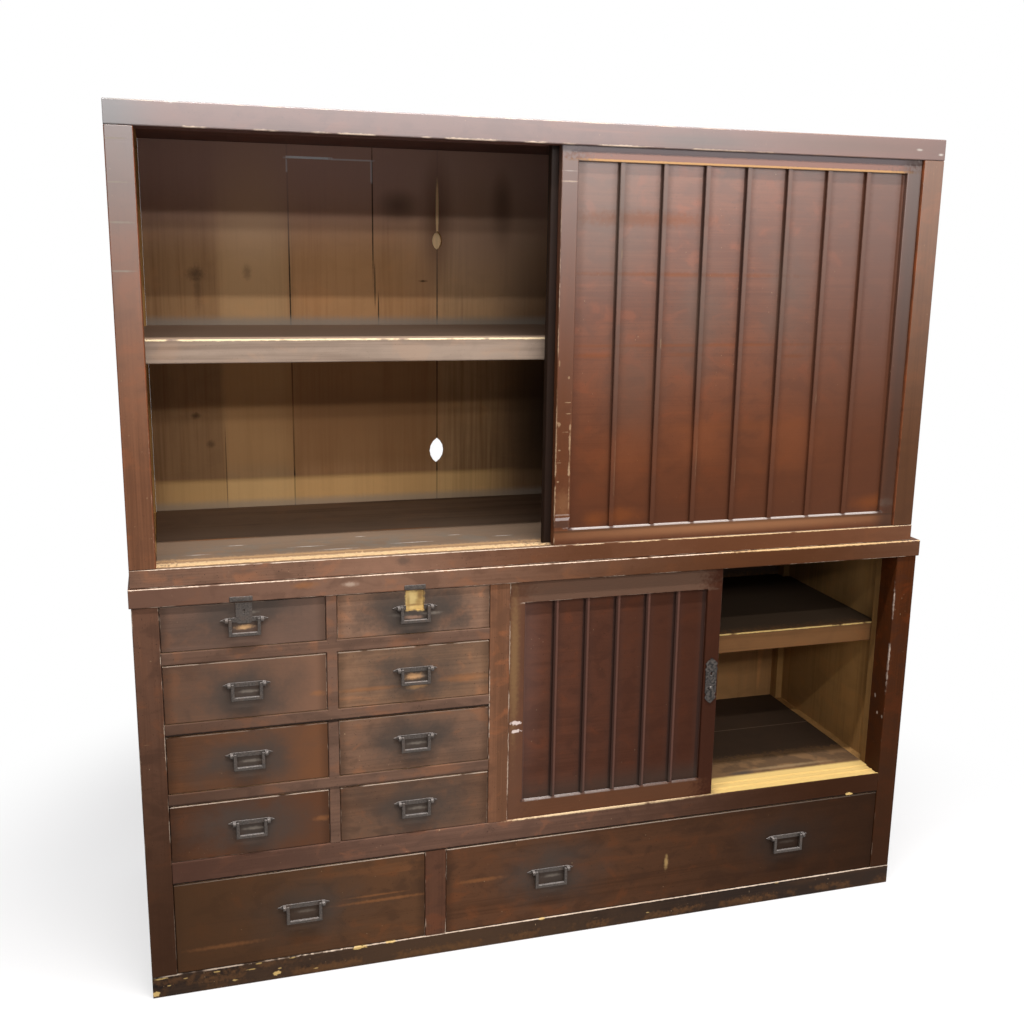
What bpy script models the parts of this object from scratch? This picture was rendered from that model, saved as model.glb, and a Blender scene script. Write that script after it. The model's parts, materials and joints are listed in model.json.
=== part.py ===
"""Two-part stacking cabinet: slatted sliding doors over small drawers, a cupboard and two wide drawers.

Metres, +Z up. The front faces -Y and +X is to the right when looking at it.
"""

import math
from collections import namedtuple

import bmesh
import bpy
from mathutils import Matrix, Vector

# Overall sizes of the two stacked cases
CASE_DEPTH = 0.550
LOWER_WIDTH = 1.737
UPPER_NARROWER = 0.020

# Heights of the front, from the floor up
BASE_HEIGHT = 0.048
BOTTOM_DRAWER_OPENING = 0.201
MIDDLE_RAIL_HEIGHT = 0.049
SMALL_DRAWER_OPENING = 0.1225
DRAWER_RAIL_HEIGHT = 0.0257
TOP_DRAWER_OPENING = 0.094
LOWER_TOP_HEIGHT = 0.038
UPPER_SILL_HEIGHT = 0.037
UPPER_OPENING_HEIGHT = 0.805
UPPER_TOP_HEIGHT = 0.044

# Widths along the front
POST_WIDTH = 0.050
DRAWER_COLUMN_WIDTH = 0.319
COLUMN_DIVIDER_WIDTH = 0.0216
CENTRE_POST_WIDTH = 0.0437
BOTTOM_LEFT_OPENING = 0.521
BOTTOM_DIVIDER_WIDTH = 0.0455

# Framing and boards
SILL_REAR_LIP = 0.010
DRAWER_RAIL_DEPTH = 0.040
RUNNER_WIDTH = 0.018
REAR_POST_DEPTH = 0.047
BACK_INSET = 0.005
BACK_BOARD = 0.012
TOP_BOARD = 0.020
TOP_OVERHANG = 0.004
FLOOR_BOARD = 0.018
FLOOR_DROP = 0.002
SIDE_STILE = 0.020
SIDE_PANEL = 0.012
SIDE_PANEL_RECESS = 0.018
PARTITION_BOARD = 0.014
DIVIDER_BOARD = 0.012
SIDE_BOTTOM_RAIL = 0.048
BASE_BOARD = 0.018
BASE_RIM = 0.035
ARRIS = 0.0015

# Shelves
UPPER_SHELF_RISE = 0.426
LOWER_SHELF_RISE = 0.354
SHELF_RAIL_HEIGHT = 0.046
SHELF_RAIL_DEPTH = 0.024
SHELF_BOARD = 0.015
SHELF_CLEARANCE = 0.006
SHELF_HOUSING = 0.004

# Sliding doors and their tracks
DOOR_THICKNESS = 0.020
DOOR_SETBACK = 0.006
TRACK_RIB = 0.004
TRACK_PLAY = 0.0005
SILL_GROOVE = 0.003
HEAD_GROOVE = 0.010
HEAD_PLAY = 0.004
DOOR_STILE = 0.035
UPPER_DOOR_OVERLAP = 0.021
UPPER_DOOR_TOP_RAIL = 0.0285
UPPER_DOOR_BOTTOM_RAIL = 0.033
UPPER_BATTENS = 7
LOWER_DOOR_OVERLAP = 0.052
LOWER_DOOR_TOP_RAIL = 0.047
LOWER_DOOR_BOTTOM_RAIL = 0.040
LOWER_BATTENS = 5
REAR_DOOR_SHOW = 0.014
PANEL_SETBACK = 0.009
PANEL_THICKNESS = 0.007
PANEL_LAP = 0.008
BATTEN_WIDTH = 0.010
BATTEN_SINK = 0.002

# Drawers
DRAWER_BACK_CLEARANCE = 0.0415
DRAWER_INSET = 0.0015
DRAWER_SIDE_PLAY = 0.0008
DRAWER_TOP_PLAY = 0.0020
DRAWER_FRONT = 0.018
DRAWER_SIDE = 0.009
DRAWER_BOTTOM = 0.008
LOCK_RECESS_WIDTH = 0.037
LOCK_RECESS_HEIGHT = 0.042
LOCK_RECESS_DEPTH = 0.002

# Iron handles
MOUNT_HEIGHT = 0.009
MOUNT_THICKNESS = 0.0025
MOUNT_POINT = 0.012
SMALL_MOUNT_TAIL = 0.0155
SMALL_BAIL_WIDTH = 0.062
SMALL_BAIL_DROP = 0.031
SMALL_HANDLE_RISE = 0.010
LARGE_MOUNT_TAIL = 0.017
LARGE_BAIL_WIDTH = 0.074
LARGE_BAIL_DROP = 0.036
LARGE_HANDLE_RISE = 0.017
WIDE_HANDLE_SPREAD = 0.592
BAIL_BAR = 0.0065
BAIL_EASE = 0.0008
BAIL_CLEARANCE = 0.0024
PIN_RADIUS = 0.0020
PIN_PLAY = 0.0003
LUG_WIDTH = 0.006
LUG_WALL = 0.0019
LUG_GAP = 0.0004

# Iron locks
DRAWER_LOCK_WIDTH = 0.032
DRAWER_LOCK_FOOT = 0.0075
DRAWER_LOCK_TAPER = 0.004
DOOR_LOCK_MARGIN = 0.0025
DOOR_LOCK_HEIGHT = 0.108
DOOR_LOCK_RISE = 0.277
DOOR_LOCK_THICKNESS = 0.002
LOCK_BOSS_RADIUS = 0.0055
KEYHOLE_RADIUS = 0.0024
KEYHOLE_SLOT = 0.0065

# Lost knots along a joint of the upper back, as lens-shaped holes
KNOT_FROM_LEFT = 0.7185
KNOT_HOLES = ((0.623, 0.024, 0.044), (0.119, 0.036, 0.062))

# Clearance between pieces that touch
GAP = 0.0003

# Levels worked out from the heights
Z_BASE = BASE_HEIGHT
Z_MIDDLE = Z_BASE + BOTTOM_DRAWER_OPENING
Z_DECK = Z_MIDDLE + MIDDLE_RAIL_HEIGHT
ROW_PITCH = SMALL_DRAWER_OPENING + DRAWER_RAIL_HEIGHT
FULL_ROWS = 3
Z_LOWER_HEAD = Z_DECK + FULL_ROWS * ROW_PITCH + TOP_DRAWER_OPENING
Z_LOWER_TOP = Z_LOWER_HEAD + LOWER_TOP_HEIGHT
Z_SILL = Z_LOWER_TOP + UPPER_SILL_HEIGHT
Z_UPPER_HEAD = Z_SILL + UPPER_OPENING_HEIGHT
Z_TOP = Z_UPPER_HEAD + UPPER_TOP_HEIGHT

# Undersides of the boards behind the middle rail and the lower top rail
DECK_CEILING = Z_DECK - GAP - FLOOR_BOARD
LOWER_CEILING = Z_LOWER_TOP - GAP - TOP_BOARD

# Sizes that follow from the pieces they fit
POST_DEPTH = DOOR_SETBACK + 2 * DOOR_THICKNESS + TRACK_RIB + SILL_REAR_LIP
BATTEN_PROUD = PANEL_SETBACK - BATTEN_SINK
PIVOT_OUT = MOUNT_THICKNESS + BAIL_BAR / math.sqrt(2) + BAIL_CLEARANCE
BORE_RADIUS = PIN_RADIUS + PIN_PLAY
LUG_RADIUS = BORE_RADIUS + LUG_WALL
DOOR_LOCK_WIDTH = DOOR_STILE - 2 * DOOR_LOCK_MARGIN
UPPER_WIDTH = LOWER_WIDTH - UPPER_NARROWER
UPPER_SHIFT = -UPPER_NARROWER / 2

# Planes from front to back, centred on the whole depth with the handles
HANDLE_PROUD = PIVOT_OUT + LUG_RADIUS - DRAWER_INSET
FRONT = (HANDLE_PROUD - CASE_DEPTH) / 2
POST_BACK = FRONT + POST_DEPTH
BACK = FRONT + CASE_DEPTH
REAR_POST_FACE = BACK - REAR_POST_DEPTH
BACK_FACE = BACK - BACK_INSET - BACK_BOARD
SHELF_FACE = POST_BACK + SIDE_STILE + SHELF_CLEARANCE
DRAWER_FACE = FRONT + DRAWER_INSET
DRAWER_LENGTH = BACK_FACE - DRAWER_BACK_CLEARANCE - DRAWER_FACE

# Lines from left to right
LEFT = -LOWER_WIDTH / 2
RIGHT = LOWER_WIDTH / 2
INNER_LEFT = LEFT + POST_WIDTH
INNER_RIGHT = RIGHT - POST_WIDTH
DIVIDER_LEFT = INNER_LEFT + DRAWER_COLUMN_WIDTH
DIVIDER_RIGHT = DIVIDER_LEFT + COLUMN_DIVIDER_WIDTH
CENTRE_LEFT = DIVIDER_RIGHT + DRAWER_COLUMN_WIDTH
CUPBOARD_LEFT = CENTRE_LEFT + CENTRE_POST_WIDTH
UPPER_LEFT = UPPER_SHIFT - UPPER_WIDTH / 2
UPPER_RIGHT = UPPER_SHIFT + UPPER_WIDTH / 2
UPPER_INNER_LEFT = UPPER_LEFT + POST_WIDTH
UPPER_INNER_RIGHT = UPPER_RIGHT - POST_WIDTH

Finish = namedtuple("Finish", "name colour roughness metallic")
LACQUER = Finish("dark_lacquered_wood", (0.085, 0.030, 0.020), 0.38, 0.0)
RAW_WOOD = Finish("raw_cedar", (0.230, 0.125, 0.055), 0.75, 0.0)
PLINTH_WOOD = Finish("blackened_plinth_wood", (0.022, 0.013, 0.010), 0.55, 0.0)
IRON = Finish("dark_forged_iron", (0.050, 0.046, 0.043), 0.45, 0.9)

CIRCLE_SIDES = 8


def clear_scene():
    """Empty the scene of objects."""
    for old in list(bpy.data.objects):
        bpy.data.objects.remove(old, do_unlink=True)


def material_for(finish):
    """Return the material of a finish, made the first time it is asked for."""
    material = bpy.data.materials.get(finish.name)
    if material is None:
        material = bpy.data.materials.new(finish.name)
        material.use_nodes = True
        shader = material.node_tree.nodes["Principled BSDF"]
        shader.inputs["Base Color"].default_value = (*finish.colour, 1.0)
        shader.inputs["Roughness"].default_value = finish.roughness
        shader.inputs["Metallic"].default_value = finish.metallic
    return material


def piece(name, shape, finish, origin=(0, 0, 0), parent=None, smooth=False):
    """Make a named object from a shape in world coordinates, with its origin at a world point."""
    bmesh.ops.recalc_face_normals(shape, faces=shape.faces)
    origin = Vector(origin)
    bmesh.ops.translate(shape, verts=shape.verts, vec=-origin)
    mesh = bpy.data.meshes.new(name)
    shape.to_mesh(mesh)
    shape.free()
    mesh.materials.append(material_for(finish))
    if smooth:
        mesh.shade_smooth()
        mesh.set_sharp_from_angle(angle=math.radians(35))
    made = bpy.data.objects.new(name, mesh)
    made["world_origin"] = origin
    made.location = origin
    if parent is not None:
        made.parent = parent
        made.location = origin - Vector(parent["world_origin"])
    bpy.context.scene.collection.objects.link(made)
    return made


def box(low, high):
    """A rectangular block between two corners."""
    low, high = Vector(low), Vector(high)
    shape = bmesh.new()
    bmesh.ops.create_cube(shape, size=1.0)
    place = Matrix.Translation((low + high) / 2) @ Matrix.Diagonal((*(high - low), 1.0))
    bmesh.ops.transform(shape, matrix=place, verts=shape.verts)
    return shape


def extrusion(outline, axis, start, end):
    """A flat outline pushed along an axis. Outline points are in the order of the two other axes."""
    place = {
        "X": lambda a, b, t: (t, a, b),
        "Y": lambda a, b, t: (a, t, b),
        "Z": lambda a, b, t: (a, b, t),
    }[axis]
    shape = bmesh.new()
    corners = [shape.verts.new(place(a, b, start)) for a, b in outline]
    face = shape.faces.new(corners)
    grown = bmesh.ops.extrude_face_region(shape, geom=[face])
    moved = [item for item in grown["geom"] if isinstance(item, bmesh.types.BMVert)]
    bmesh.ops.translate(shape, verts=moved, vec=Vector(place(0, 0, end - start)))
    bmesh.ops.recalc_face_normals(shape, faces=shape.faces)
    return shape


def cylinder(centre, radius, start, end, sides=CIRCLE_SIDES):
    """A round bar along X between two x values, centred on a (y, z) point."""
    y, z = centre
    turn = 2 * math.pi / sides
    rim = [(y + radius * math.cos(i * turn), z + radius * math.sin(i * turn)) for i in range(sides)]
    return extrusion(rim, "X", start, end)


def combined(first, second, operation):
    """Two shapes joined or cut by a Boolean. Both are used up."""
    workers = []
    for shape in (first, second):
        mesh = bpy.data.meshes.new("work")
        shape.to_mesh(mesh)
        shape.free()
        worker = bpy.data.objects.new("work", mesh)
        bpy.context.scene.collection.objects.link(worker)
        workers.append(worker)
    modifier = workers[0].modifiers.new("combine", "BOOLEAN")
    modifier.operation = operation
    modifier.solver = "EXACT"
    modifier.object = workers[1]
    result = bmesh.new()
    result.from_object(workers[0], bpy.context.evaluated_depsgraph_get())
    for worker in workers:
        mesh = worker.data
        bpy.data.objects.remove(worker, do_unlink=True)
        bpy.data.meshes.remove(mesh)
    return result


def cut(shape, tool):
    """A shape less a cutting tool."""
    return combined(shape, tool, "DIFFERENCE")


def joined(shape, other):
    """Two overlapping shapes as one body."""
    return combined(shape, other, "UNION")


def ease_edges(shape, chosen, width=ARRIS):
    """Take a small flat off the edges that a test picks."""
    edges = [edge for edge in shape.edges if chosen(edge)]
    bmesh.ops.bevel(shape, geom=edges, offset=width, segments=1, profile=0.5, affect="EDGES")
    return shape


def edge_lies_at(axis, value):
    """A test for edges that lie in the plane where one coordinate has a value."""
    return lambda edge: all(abs(vert.co[axis] - value) < 1e-6 for vert in edge.verts)


def edge_along(axis):
    """A test for edges that run along one axis."""
    return lambda edge: abs((edge.verts[1].co - edge.verts[0].co).normalized()[axis]) > 0.999


def ease_front(shape, along, face=FRONT):
    """Ease the arrises of a front face that run along one axis."""
    at_face = edge_lies_at(1, face)
    runs = edge_along(along)
    return ease_edges(shape, lambda edge: at_face(edge) and runs(edge))


def build_posts(prefix, left, right, bottom, top):
    """The two front posts of a case."""
    for side, outer in (("left", left), ("right", right - POST_WIDTH)):
        shape = box((outer, FRONT, bottom), (outer + POST_WIDTH, POST_BACK, top - GAP))
        piece(f"{prefix}_{side}_post", ease_front(shape, 2), LACQUER, (outer, FRONT, bottom))


def build_side(name, outer, inward, bottom, top, fields, housing=None):
    """One framed end: rear post, front stile and rails round thin panels.

    inward is +1 on the left and -1 on the right. fields are the (low, high) heights of the panels, and
    housing is the (low, high) height of the groove that takes a shelf end.
    """
    inner = outer + inward * POST_WIDTH
    panel_inner = inner - inward * SIDE_PANEL_RECESS
    panel_outer = panel_inner - inward * SIDE_PANEL
    front = POST_BACK + GAP
    shape = box(
        (min(outer, inner), front, bottom),
        (max(outer, inner), BACK, top - GAP),
    )
    beyond = inward * POST_WIDTH
    for low, high in fields:
        for start, end in ((panel_inner, inner + beyond), (outer - beyond, panel_outer)):
            pocket = box(
                (min(start, end), front + SIDE_STILE, low),
                (max(start, end), REAR_POST_FACE, high),
            )
            shape = cut(shape, pocket)
    if housing is not None:
        start = panel_inner - inward * SHELF_HOUSING
        groove = box(
            (min(start, inner), SHELF_FACE + SHELF_RAIL_DEPTH - GAP, housing[0]),
            (max(start, inner), REAR_POST_FACE, housing[1]),
        )
        shape = cut(shape, groove)
    piece(name, shape, LACQUER, (outer, front, bottom))


def door_track(index):
    """The front and back planes of one of the two door tracks, 0 in front."""
    front = FRONT + DOOR_SETBACK + index * (DOOR_THICKNESS + TRACK_RIB)
    return front, front + DOOR_THICKNESS


def cut_tracks(shape, left, right, low, high):
    """Cut the two door grooves between two x values and two heights."""
    for index in (0, 1):
        front, back = door_track(index)
        groove = box((left, front - TRACK_PLAY, low), (right, back + TRACK_PLAY, high))
        shape = cut(shape, groove)
    return shape


def shelf_levels(top):
    """The heights of a shelf housing for a shelf whose upper face is at a height."""
    return top - SHELF_BOARD - GAP, top + GAP


def rail_and_board(left, right, front, low, high, board, board_back):
    """A front rail with a thinner board behind it, flush on top."""
    outline = (
        (front, low),
        (POST_BACK, low),
        (POST_BACK, high - board),
        (board_back, high - board),
        (board_back, high),
        (front, high),
    )
    return ease_front(extrusion(outline, "X", left, right), 0, front)


def build_shelf(name, left, right, top, rear_notches):
    """A shelf board housed in the ends, with a deep rail under its front edge.

    rear_notches names the ends where the board is cut round a rear post.
    """
    house = SHELF_HOUSING - GAP
    notch = SIDE_PANEL_RECESS + GAP
    left_back = left + notch if "left" in rear_notches else left - house
    right_back = right - notch if "right" in rear_notches else right + house
    board_face = SHELF_FACE + SHELF_RAIL_DEPTH
    notch_face = REAR_POST_FACE - GAP
    outline = (
        (left - house, board_face),
        (right + house, board_face),
        (right + house, notch_face),
        (right_back, notch_face),
        (right_back, BACK_FACE - GAP),
        (left_back, BACK_FACE - GAP),
        (left_back, notch_face),
        (left - house, notch_face),
    )
    distinct = [point for i, point in enumerate(outline) if point != outline[i - 1]]
    board = extrusion(distinct, "Z", top - SHELF_BOARD, top)
    rail = box(
        (left + GAP, SHELF_FACE, top - SHELF_RAIL_HEIGHT),
        (right - GAP, board_face + SHELF_RAIL_DEPTH / 2, top),
    )
    rail = cut(
        rail,
        box(
            (left - notch, board_face, top - 2 * SHELF_RAIL_HEIGHT),
            (right + notch, board_face + SHELF_RAIL_DEPTH, top - SHELF_BOARD),
        ),
    )
    piece(name, joined(board, ease_front(rail, 0, SHELF_FACE)), LACQUER, (left, SHELF_FACE, top))


def lens(centre_x, centre_z, width, height, steps=6):
    """The outline of a lens with its points up and down, from two arcs."""
    half, rise = width / 2, height / 2
    radius = (half * half + rise * rise) / (2 * half)
    reach = math.asin(rise / radius)
    angles = [reach * (2 * i / steps - 1) for i in range(steps)]
    right = [(radius * math.cos(a) - radius + half, radius * math.sin(a)) for a in angles]
    return [(centre_x + x, centre_z + z) for x, z in right] + [(centre_x - x, centre_z - z) for x, z in right]


def build_upper_case():
    """The upper case: top, floor with its sill, posts, framed ends, back and shelf."""
    board_under = Z_TOP - TOP_BOARD
    shelf_top = Z_SILL + UPPER_SHELF_RISE

    top = rail_and_board(UPPER_LEFT, UPPER_RIGHT, FRONT, Z_UPPER_HEAD, Z_TOP, TOP_BOARD, BACK)
    top = cut_tracks(
        top, UPPER_INNER_LEFT, UPPER_INNER_RIGHT, Z_UPPER_HEAD - HEAD_GROOVE, Z_UPPER_HEAD + HEAD_GROOVE
    )
    piece("upper_top", top, LACQUER, (UPPER_SHIFT, FRONT, Z_UPPER_HEAD))

    sill = box((UPPER_LEFT, FRONT, Z_LOWER_TOP), (UPPER_RIGHT, POST_BACK, Z_SILL - GAP))
    sill = cut_tracks(
        ease_front(sill, 0), UPPER_INNER_LEFT, UPPER_INNER_RIGHT, Z_SILL - SILL_GROOVE, Z_SILL + SILL_GROOVE
    )
    floor_top = Z_SILL - FLOOR_DROP
    floor = box(
        (UPPER_INNER_LEFT + GAP, POST_BACK - TRACK_RIB, floor_top - FLOOR_BOARD),
        (UPPER_INNER_RIGHT - GAP, BACK_FACE - GAP, floor_top),
    )
    piece("upper_floor", joined(sill, floor), LACQUER, (UPPER_SHIFT, FRONT, Z_LOWER_TOP))

    build_posts("upper", UPPER_LEFT, UPPER_RIGHT, Z_SILL, Z_UPPER_HEAD)
    housing = shelf_levels(shelf_top)
    for side, outer, inward in (("left", UPPER_LEFT, 1), ("right", UPPER_RIGHT, -1)):
        build_side(
            f"upper_{side}_side", outer, inward, Z_LOWER_TOP, board_under, ((Z_SILL, Z_UPPER_HEAD),), housing
        )

    back = box(
        (UPPER_INNER_LEFT + GAP, BACK_FACE, Z_LOWER_TOP),
        (UPPER_INNER_RIGHT - GAP, BACK_FACE + BACK_BOARD, board_under - GAP),
    )
    for rise, width, height in KNOT_HOLES:
        hole = lens(UPPER_LEFT + KNOT_FROM_LEFT, Z_SILL + rise, width, height)
        back = cut(back, extrusion(hole, "Y", BACK_FACE - BACK_BOARD, BACK))
    piece("upper_back", back, RAW_WOOD, (UPPER_SHIFT, BACK_FACE, Z_LOWER_TOP))

    recess = SIDE_PANEL_RECESS
    build_shelf(
        "upper_shelf", UPPER_INNER_LEFT - recess, UPPER_INNER_RIGHT + recess, shelf_top, ("left", "right")
    )


def build_lower_case():
    """The lower case: plinth, posts, framed ends, back, rails, partition, shelf and top."""
    board_under = LOWER_CEILING

    plinth = box((LEFT, FRONT, 0.0), (RIGHT, BACK, Z_BASE - GAP))
    hollow = box(
        (LEFT + BASE_RIM, POST_BACK, -BASE_HEIGHT), (RIGHT - BASE_RIM, BACK - BASE_RIM, BASE_HEIGHT - BASE_BOARD)
    )
    piece("base_plinth", cut(ease_front(plinth, 0), hollow), PLINTH_WOOD, (0, FRONT, 0))

    build_posts("lower", LEFT, RIGHT, Z_BASE, Z_LOWER_HEAD)
    shelf_top = Z_DECK + LOWER_SHELF_RISE
    fields = ((Z_BASE + SIDE_BOTTOM_RAIL, Z_MIDDLE), (Z_DECK, Z_LOWER_HEAD))
    build_side("lower_left_side", LEFT, 1, Z_BASE, board_under, fields)
    build_side("lower_right_side", RIGHT, -1, Z_BASE, board_under, fields, shelf_levels(shelf_top))

    back = box(
        (INNER_LEFT + GAP, BACK_FACE, Z_BASE),
        (INNER_RIGHT - GAP, BACK_FACE + BACK_BOARD, board_under - GAP),
    )
    piece("lower_back", back, RAW_WOOD, (0, BACK_FACE, Z_BASE))

    middle = rail_and_board(
        INNER_LEFT + GAP, INNER_RIGHT - GAP, FRONT, Z_MIDDLE, Z_DECK - GAP, FLOOR_BOARD, BACK_FACE - GAP
    )
    middle = cut_tracks(middle, CUPBOARD_LEFT, INNER_RIGHT, Z_DECK - SILL_GROOVE, Z_DECK + SILL_GROOVE)
    piece("middle_rail", middle, LACQUER, (0, FRONT, Z_MIDDLE))

    top = rail_and_board(
        LEFT - TOP_OVERHANG,
        RIGHT + TOP_OVERHANG,
        FRONT - TOP_OVERHANG,
        Z_LOWER_HEAD,
        Z_LOWER_TOP - GAP,
        TOP_BOARD,
        BACK,
    )
    top = cut_tracks(top, CUPBOARD_LEFT, INNER_RIGHT, Z_LOWER_HEAD - HEAD_GROOVE, Z_LOWER_HEAD + HEAD_GROOVE)
    piece("lower_top", top, LACQUER, (0, FRONT, Z_LOWER_HEAD))

    partition = post_and_board(
        CENTRE_LEFT, CENTRE_POST_WIDTH, POST_DEPTH, PARTITION_BOARD, Z_DECK, Z_LOWER_HEAD, LOWER_CEILING
    )
    board_right = (CENTRE_LEFT + CUPBOARD_LEFT + PARTITION_BOARD) / 2
    low, high = shelf_levels(shelf_top)
    housing = box(
        (board_right - SHELF_HOUSING, SHELF_FACE + SHELF_RAIL_DEPTH - GAP, low),
        (CUPBOARD_LEFT, BACK, high),
    )
    piece("centre_partition", cut(partition, housing), LACQUER, (CENTRE_LEFT, FRONT, Z_DECK))
    build_shelf("lower_shelf", board_right, INNER_RIGHT + SIDE_PANEL_RECESS, shelf_top, ("right",))

    divider_left = INNER_LEFT + BOTTOM_LEFT_OPENING
    divider = post_and_board(
        divider_left, BOTTOM_DIVIDER_WIDTH, POST_DEPTH, RUNNER_WIDTH, Z_BASE, Z_MIDDLE, DECK_CEILING
    )
    piece("bottom_divider", divider, LACQUER, (divider_left, FRONT, Z_BASE))
    build_drawer_bank()


def post_and_board(left, width, post_depth, board, bottom, top, ceiling):
    """An upright with a thinner board running back from its middle, which rises to a ceiling behind the rail."""
    right = left + width
    middle = (left + right) / 2
    post_back = FRONT + post_depth
    board_back = BACK_FACE - GAP
    outline = (
        (left, FRONT),
        (right, FRONT),
        (right, post_back),
        (middle + board / 2, post_back),
        (middle + board / 2, board_back),
        (middle - board / 2, board_back),
        (middle - board / 2, post_back),
        (left, post_back),
    )
    upright = ease_front(extrusion(outline, "Z", bottom, top - GAP), 2)
    riser = box(
        (middle - board / 2, POST_BACK + GAP, top - board),
        (middle + board / 2, board_back, ceiling - GAP),
    )
    return joined(upright, riser)


def build_drawer_bank():
    """The column divider with the drawer rails and runners that are tenoned into it."""
    bank = post_and_board(
        DIVIDER_LEFT,
        COLUMN_DIVIDER_WIDTH,
        DRAWER_RAIL_DEPTH,
        DIVIDER_BOARD,
        Z_DECK,
        Z_LOWER_HEAD,
        LOWER_CEILING,
    )
    rail_back = FRONT + DRAWER_RAIL_DEPTH
    runner_back = DRAWER_FACE + DRAWER_LENGTH
    tenon = DIVIDER_BOARD / 2
    middle = (DIVIDER_LEFT + DIVIDER_RIGHT) / 2
    columns = (
        (INNER_LEFT + GAP, middle - tenon / 2, INNER_LEFT, DIVIDER_LEFT),
        (middle + tenon / 2, CENTRE_LEFT - GAP, DIVIDER_RIGHT, CENTRE_LEFT),
    )
    for row in range(FULL_ROWS):
        high = Z_DECK + (row + 1) * ROW_PITCH
        low = high - DRAWER_RAIL_HEIGHT
        for left, right, open_left, open_right in columns:
            outline = (
                (left, FRONT),
                (right, FRONT),
                (right, runner_back),
                (open_right - RUNNER_WIDTH, runner_back),
                (open_right - RUNNER_WIDTH, rail_back),
                (open_left + RUNNER_WIDTH, rail_back),
                (open_left + RUNNER_WIDTH, runner_back),
                (left, runner_back),
            )
            bank = joined(bank, ease_front(extrusion(outline, "Z", low, high - GAP), 0))
    piece("drawer_bank", bank, LACQUER, (DIVIDER_LEFT, FRONT, Z_DECK))


def ring(loops):
    """A closed frame through rectangles given as (left, right, low, high, y), the last joined to the first."""
    shape = bmesh.new()
    rows = []
    for left, right, low, high, y in loops:
        corners = ((left, low), (right, low), (right, high), (left, high))
        rows.append([shape.verts.new((x, y, z)) for x, z in corners])
    for i, row in enumerate(rows):
        last = rows[i - 1]
        for k in range(len(row)):
            shape.faces.new((last[k - 1], last[k], row[k], row[k - 1]))
    bmesh.ops.recalc_face_normals(shape, faces=shape.faces)
    return shape


def grown(rectangle, margin):
    """A rectangle (left, right, low, high) enlarged by a margin all round."""
    left, right, low, high = rectangle
    return left - margin, right + margin, low - margin, high + margin


def door_frame(outer, opening, front):
    """A door's stiles and rails, rebated behind for the panel."""
    back = front + DOOR_THICKNESS
    step = front + PANEL_SETBACK - GAP
    rebate = grown(opening, PANEL_LAP)
    frame = ring(
        (
            (*outer, front),
            (*outer, back),
            (*rebate, back),
            (*rebate, step),
            (*opening, step),
            (*opening, front),
        )
    )
    return ease_front(frame, 2, front)


def slatted_panel(opening, battens, front, seat):
    """A door panel with raised upright battens. seat is how far the panel stands off its rebate."""
    left, right, low, high = grown(opening, PANEL_LAP - seat)
    face = front + PANEL_SETBACK
    panel = box((left, face, low), (right, face + PANEL_THICKNESS, high))
    open_left, open_right, open_low, open_high = opening
    pitch = (open_right - open_left) / (battens + 1)
    centres = [open_left + (i + 1) * pitch for i in range(battens)]
    starts = [(x + side * BATTEN_WIDTH / 2, (1, 0, 0)) for x in centres for side in (-1, 1)]
    ends = [(z, (0, 0, 1)) for z in (open_low + GAP, open_high - GAP)]
    for value, normal in starts + ends:
        bmesh.ops.bisect_plane(
            panel,
            geom=panel.verts[:] + panel.edges[:] + panel.faces[:],
            plane_co=Vector(normal) * value,
            plane_no=normal,
        )

    def is_batten(candidate):
        middle = candidate.calc_center_median()
        in_height = open_low < middle.z < open_high
        in_width = any(abs(middle.x - x) < BATTEN_WIDTH / 2 for x in centres)
        return abs(middle.y - face) < 1e-6 and in_height and in_width

    strips = [candidate for candidate in panel.faces if is_batten(candidate)]
    raised = bmesh.ops.extrude_face_region(panel, geom=strips)
    bmesh.ops.delete(panel, geom=strips, context="FACES_ONLY")
    moved = [item for item in raised["geom"] if isinstance(item, bmesh.types.BMVert)]
    bmesh.ops.translate(panel, verts=moved, vec=(0, -BATTEN_PROUD, 0))
    flat = math.radians(1)
    bmesh.ops.dissolve_limit(panel, angle_limit=flat, verts=panel.verts, edges=panel.edges)
    return panel


def build_door_pair(prefix, left, right, overlap, sill, head, top_rail, bottom_rail, battens, at_right):
    """The front and rear doors of an opening, both slid to one end of it."""
    width = (right - left + overlap) / 2
    front_left = right - GAP - width if at_right else left + GAP
    rear_left = front_left - REAR_DOOR_SHOW if at_right else front_left
    bottom, top = sill - SILL_GROOVE + GAP, head + HEAD_GROOVE - HEAD_PLAY
    made = None
    for index, door_left in enumerate((front_left, rear_left)):
        front, _ = door_track(index)
        outer = (door_left, door_left + width, bottom, top)
        opening = (
            door_left + DOOR_STILE,
            door_left + width - DOOR_STILE,
            sill + bottom_rail,
            head - top_rail,
        )
        origin = (door_left + width / 2, front, bottom)
        frame = door_frame(outer, opening, front)
        if index == 0:
            made = piece(f"{prefix}_front_door_frame", frame, LACQUER, origin)
            panel = slatted_panel(opening, battens, front, GAP)
            piece(f"{prefix}_front_door_panel", panel, LACQUER, origin, made)
        else:
            panel = slatted_panel(opening, battens, front, -GAP)
            piece(f"{prefix}_rear_door", joined(frame, panel), LACQUER, origin)
    return made, front_left + width


def keyhole(centre_x, centre_z, front, back):
    """A cutter for a keyhole: a round eye over a narrow slot."""
    turn = 2 * math.pi / CIRCLE_SIDES
    eye = [
        (centre_x + KEYHOLE_RADIUS * math.sin(i * turn), centre_z + KEYHOLE_RADIUS * math.cos(i * turn))
        for i in range(CIRCLE_SIDES)
    ]
    half_slot = KEYHOLE_RADIUS / 2
    slot = box(
        (centre_x - half_slot, front, centre_z - KEYHOLE_SLOT),
        (centre_x + half_slot, back, centre_z),
    )
    return joined(extrusion(eye, "Y", front, back), slot)


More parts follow.
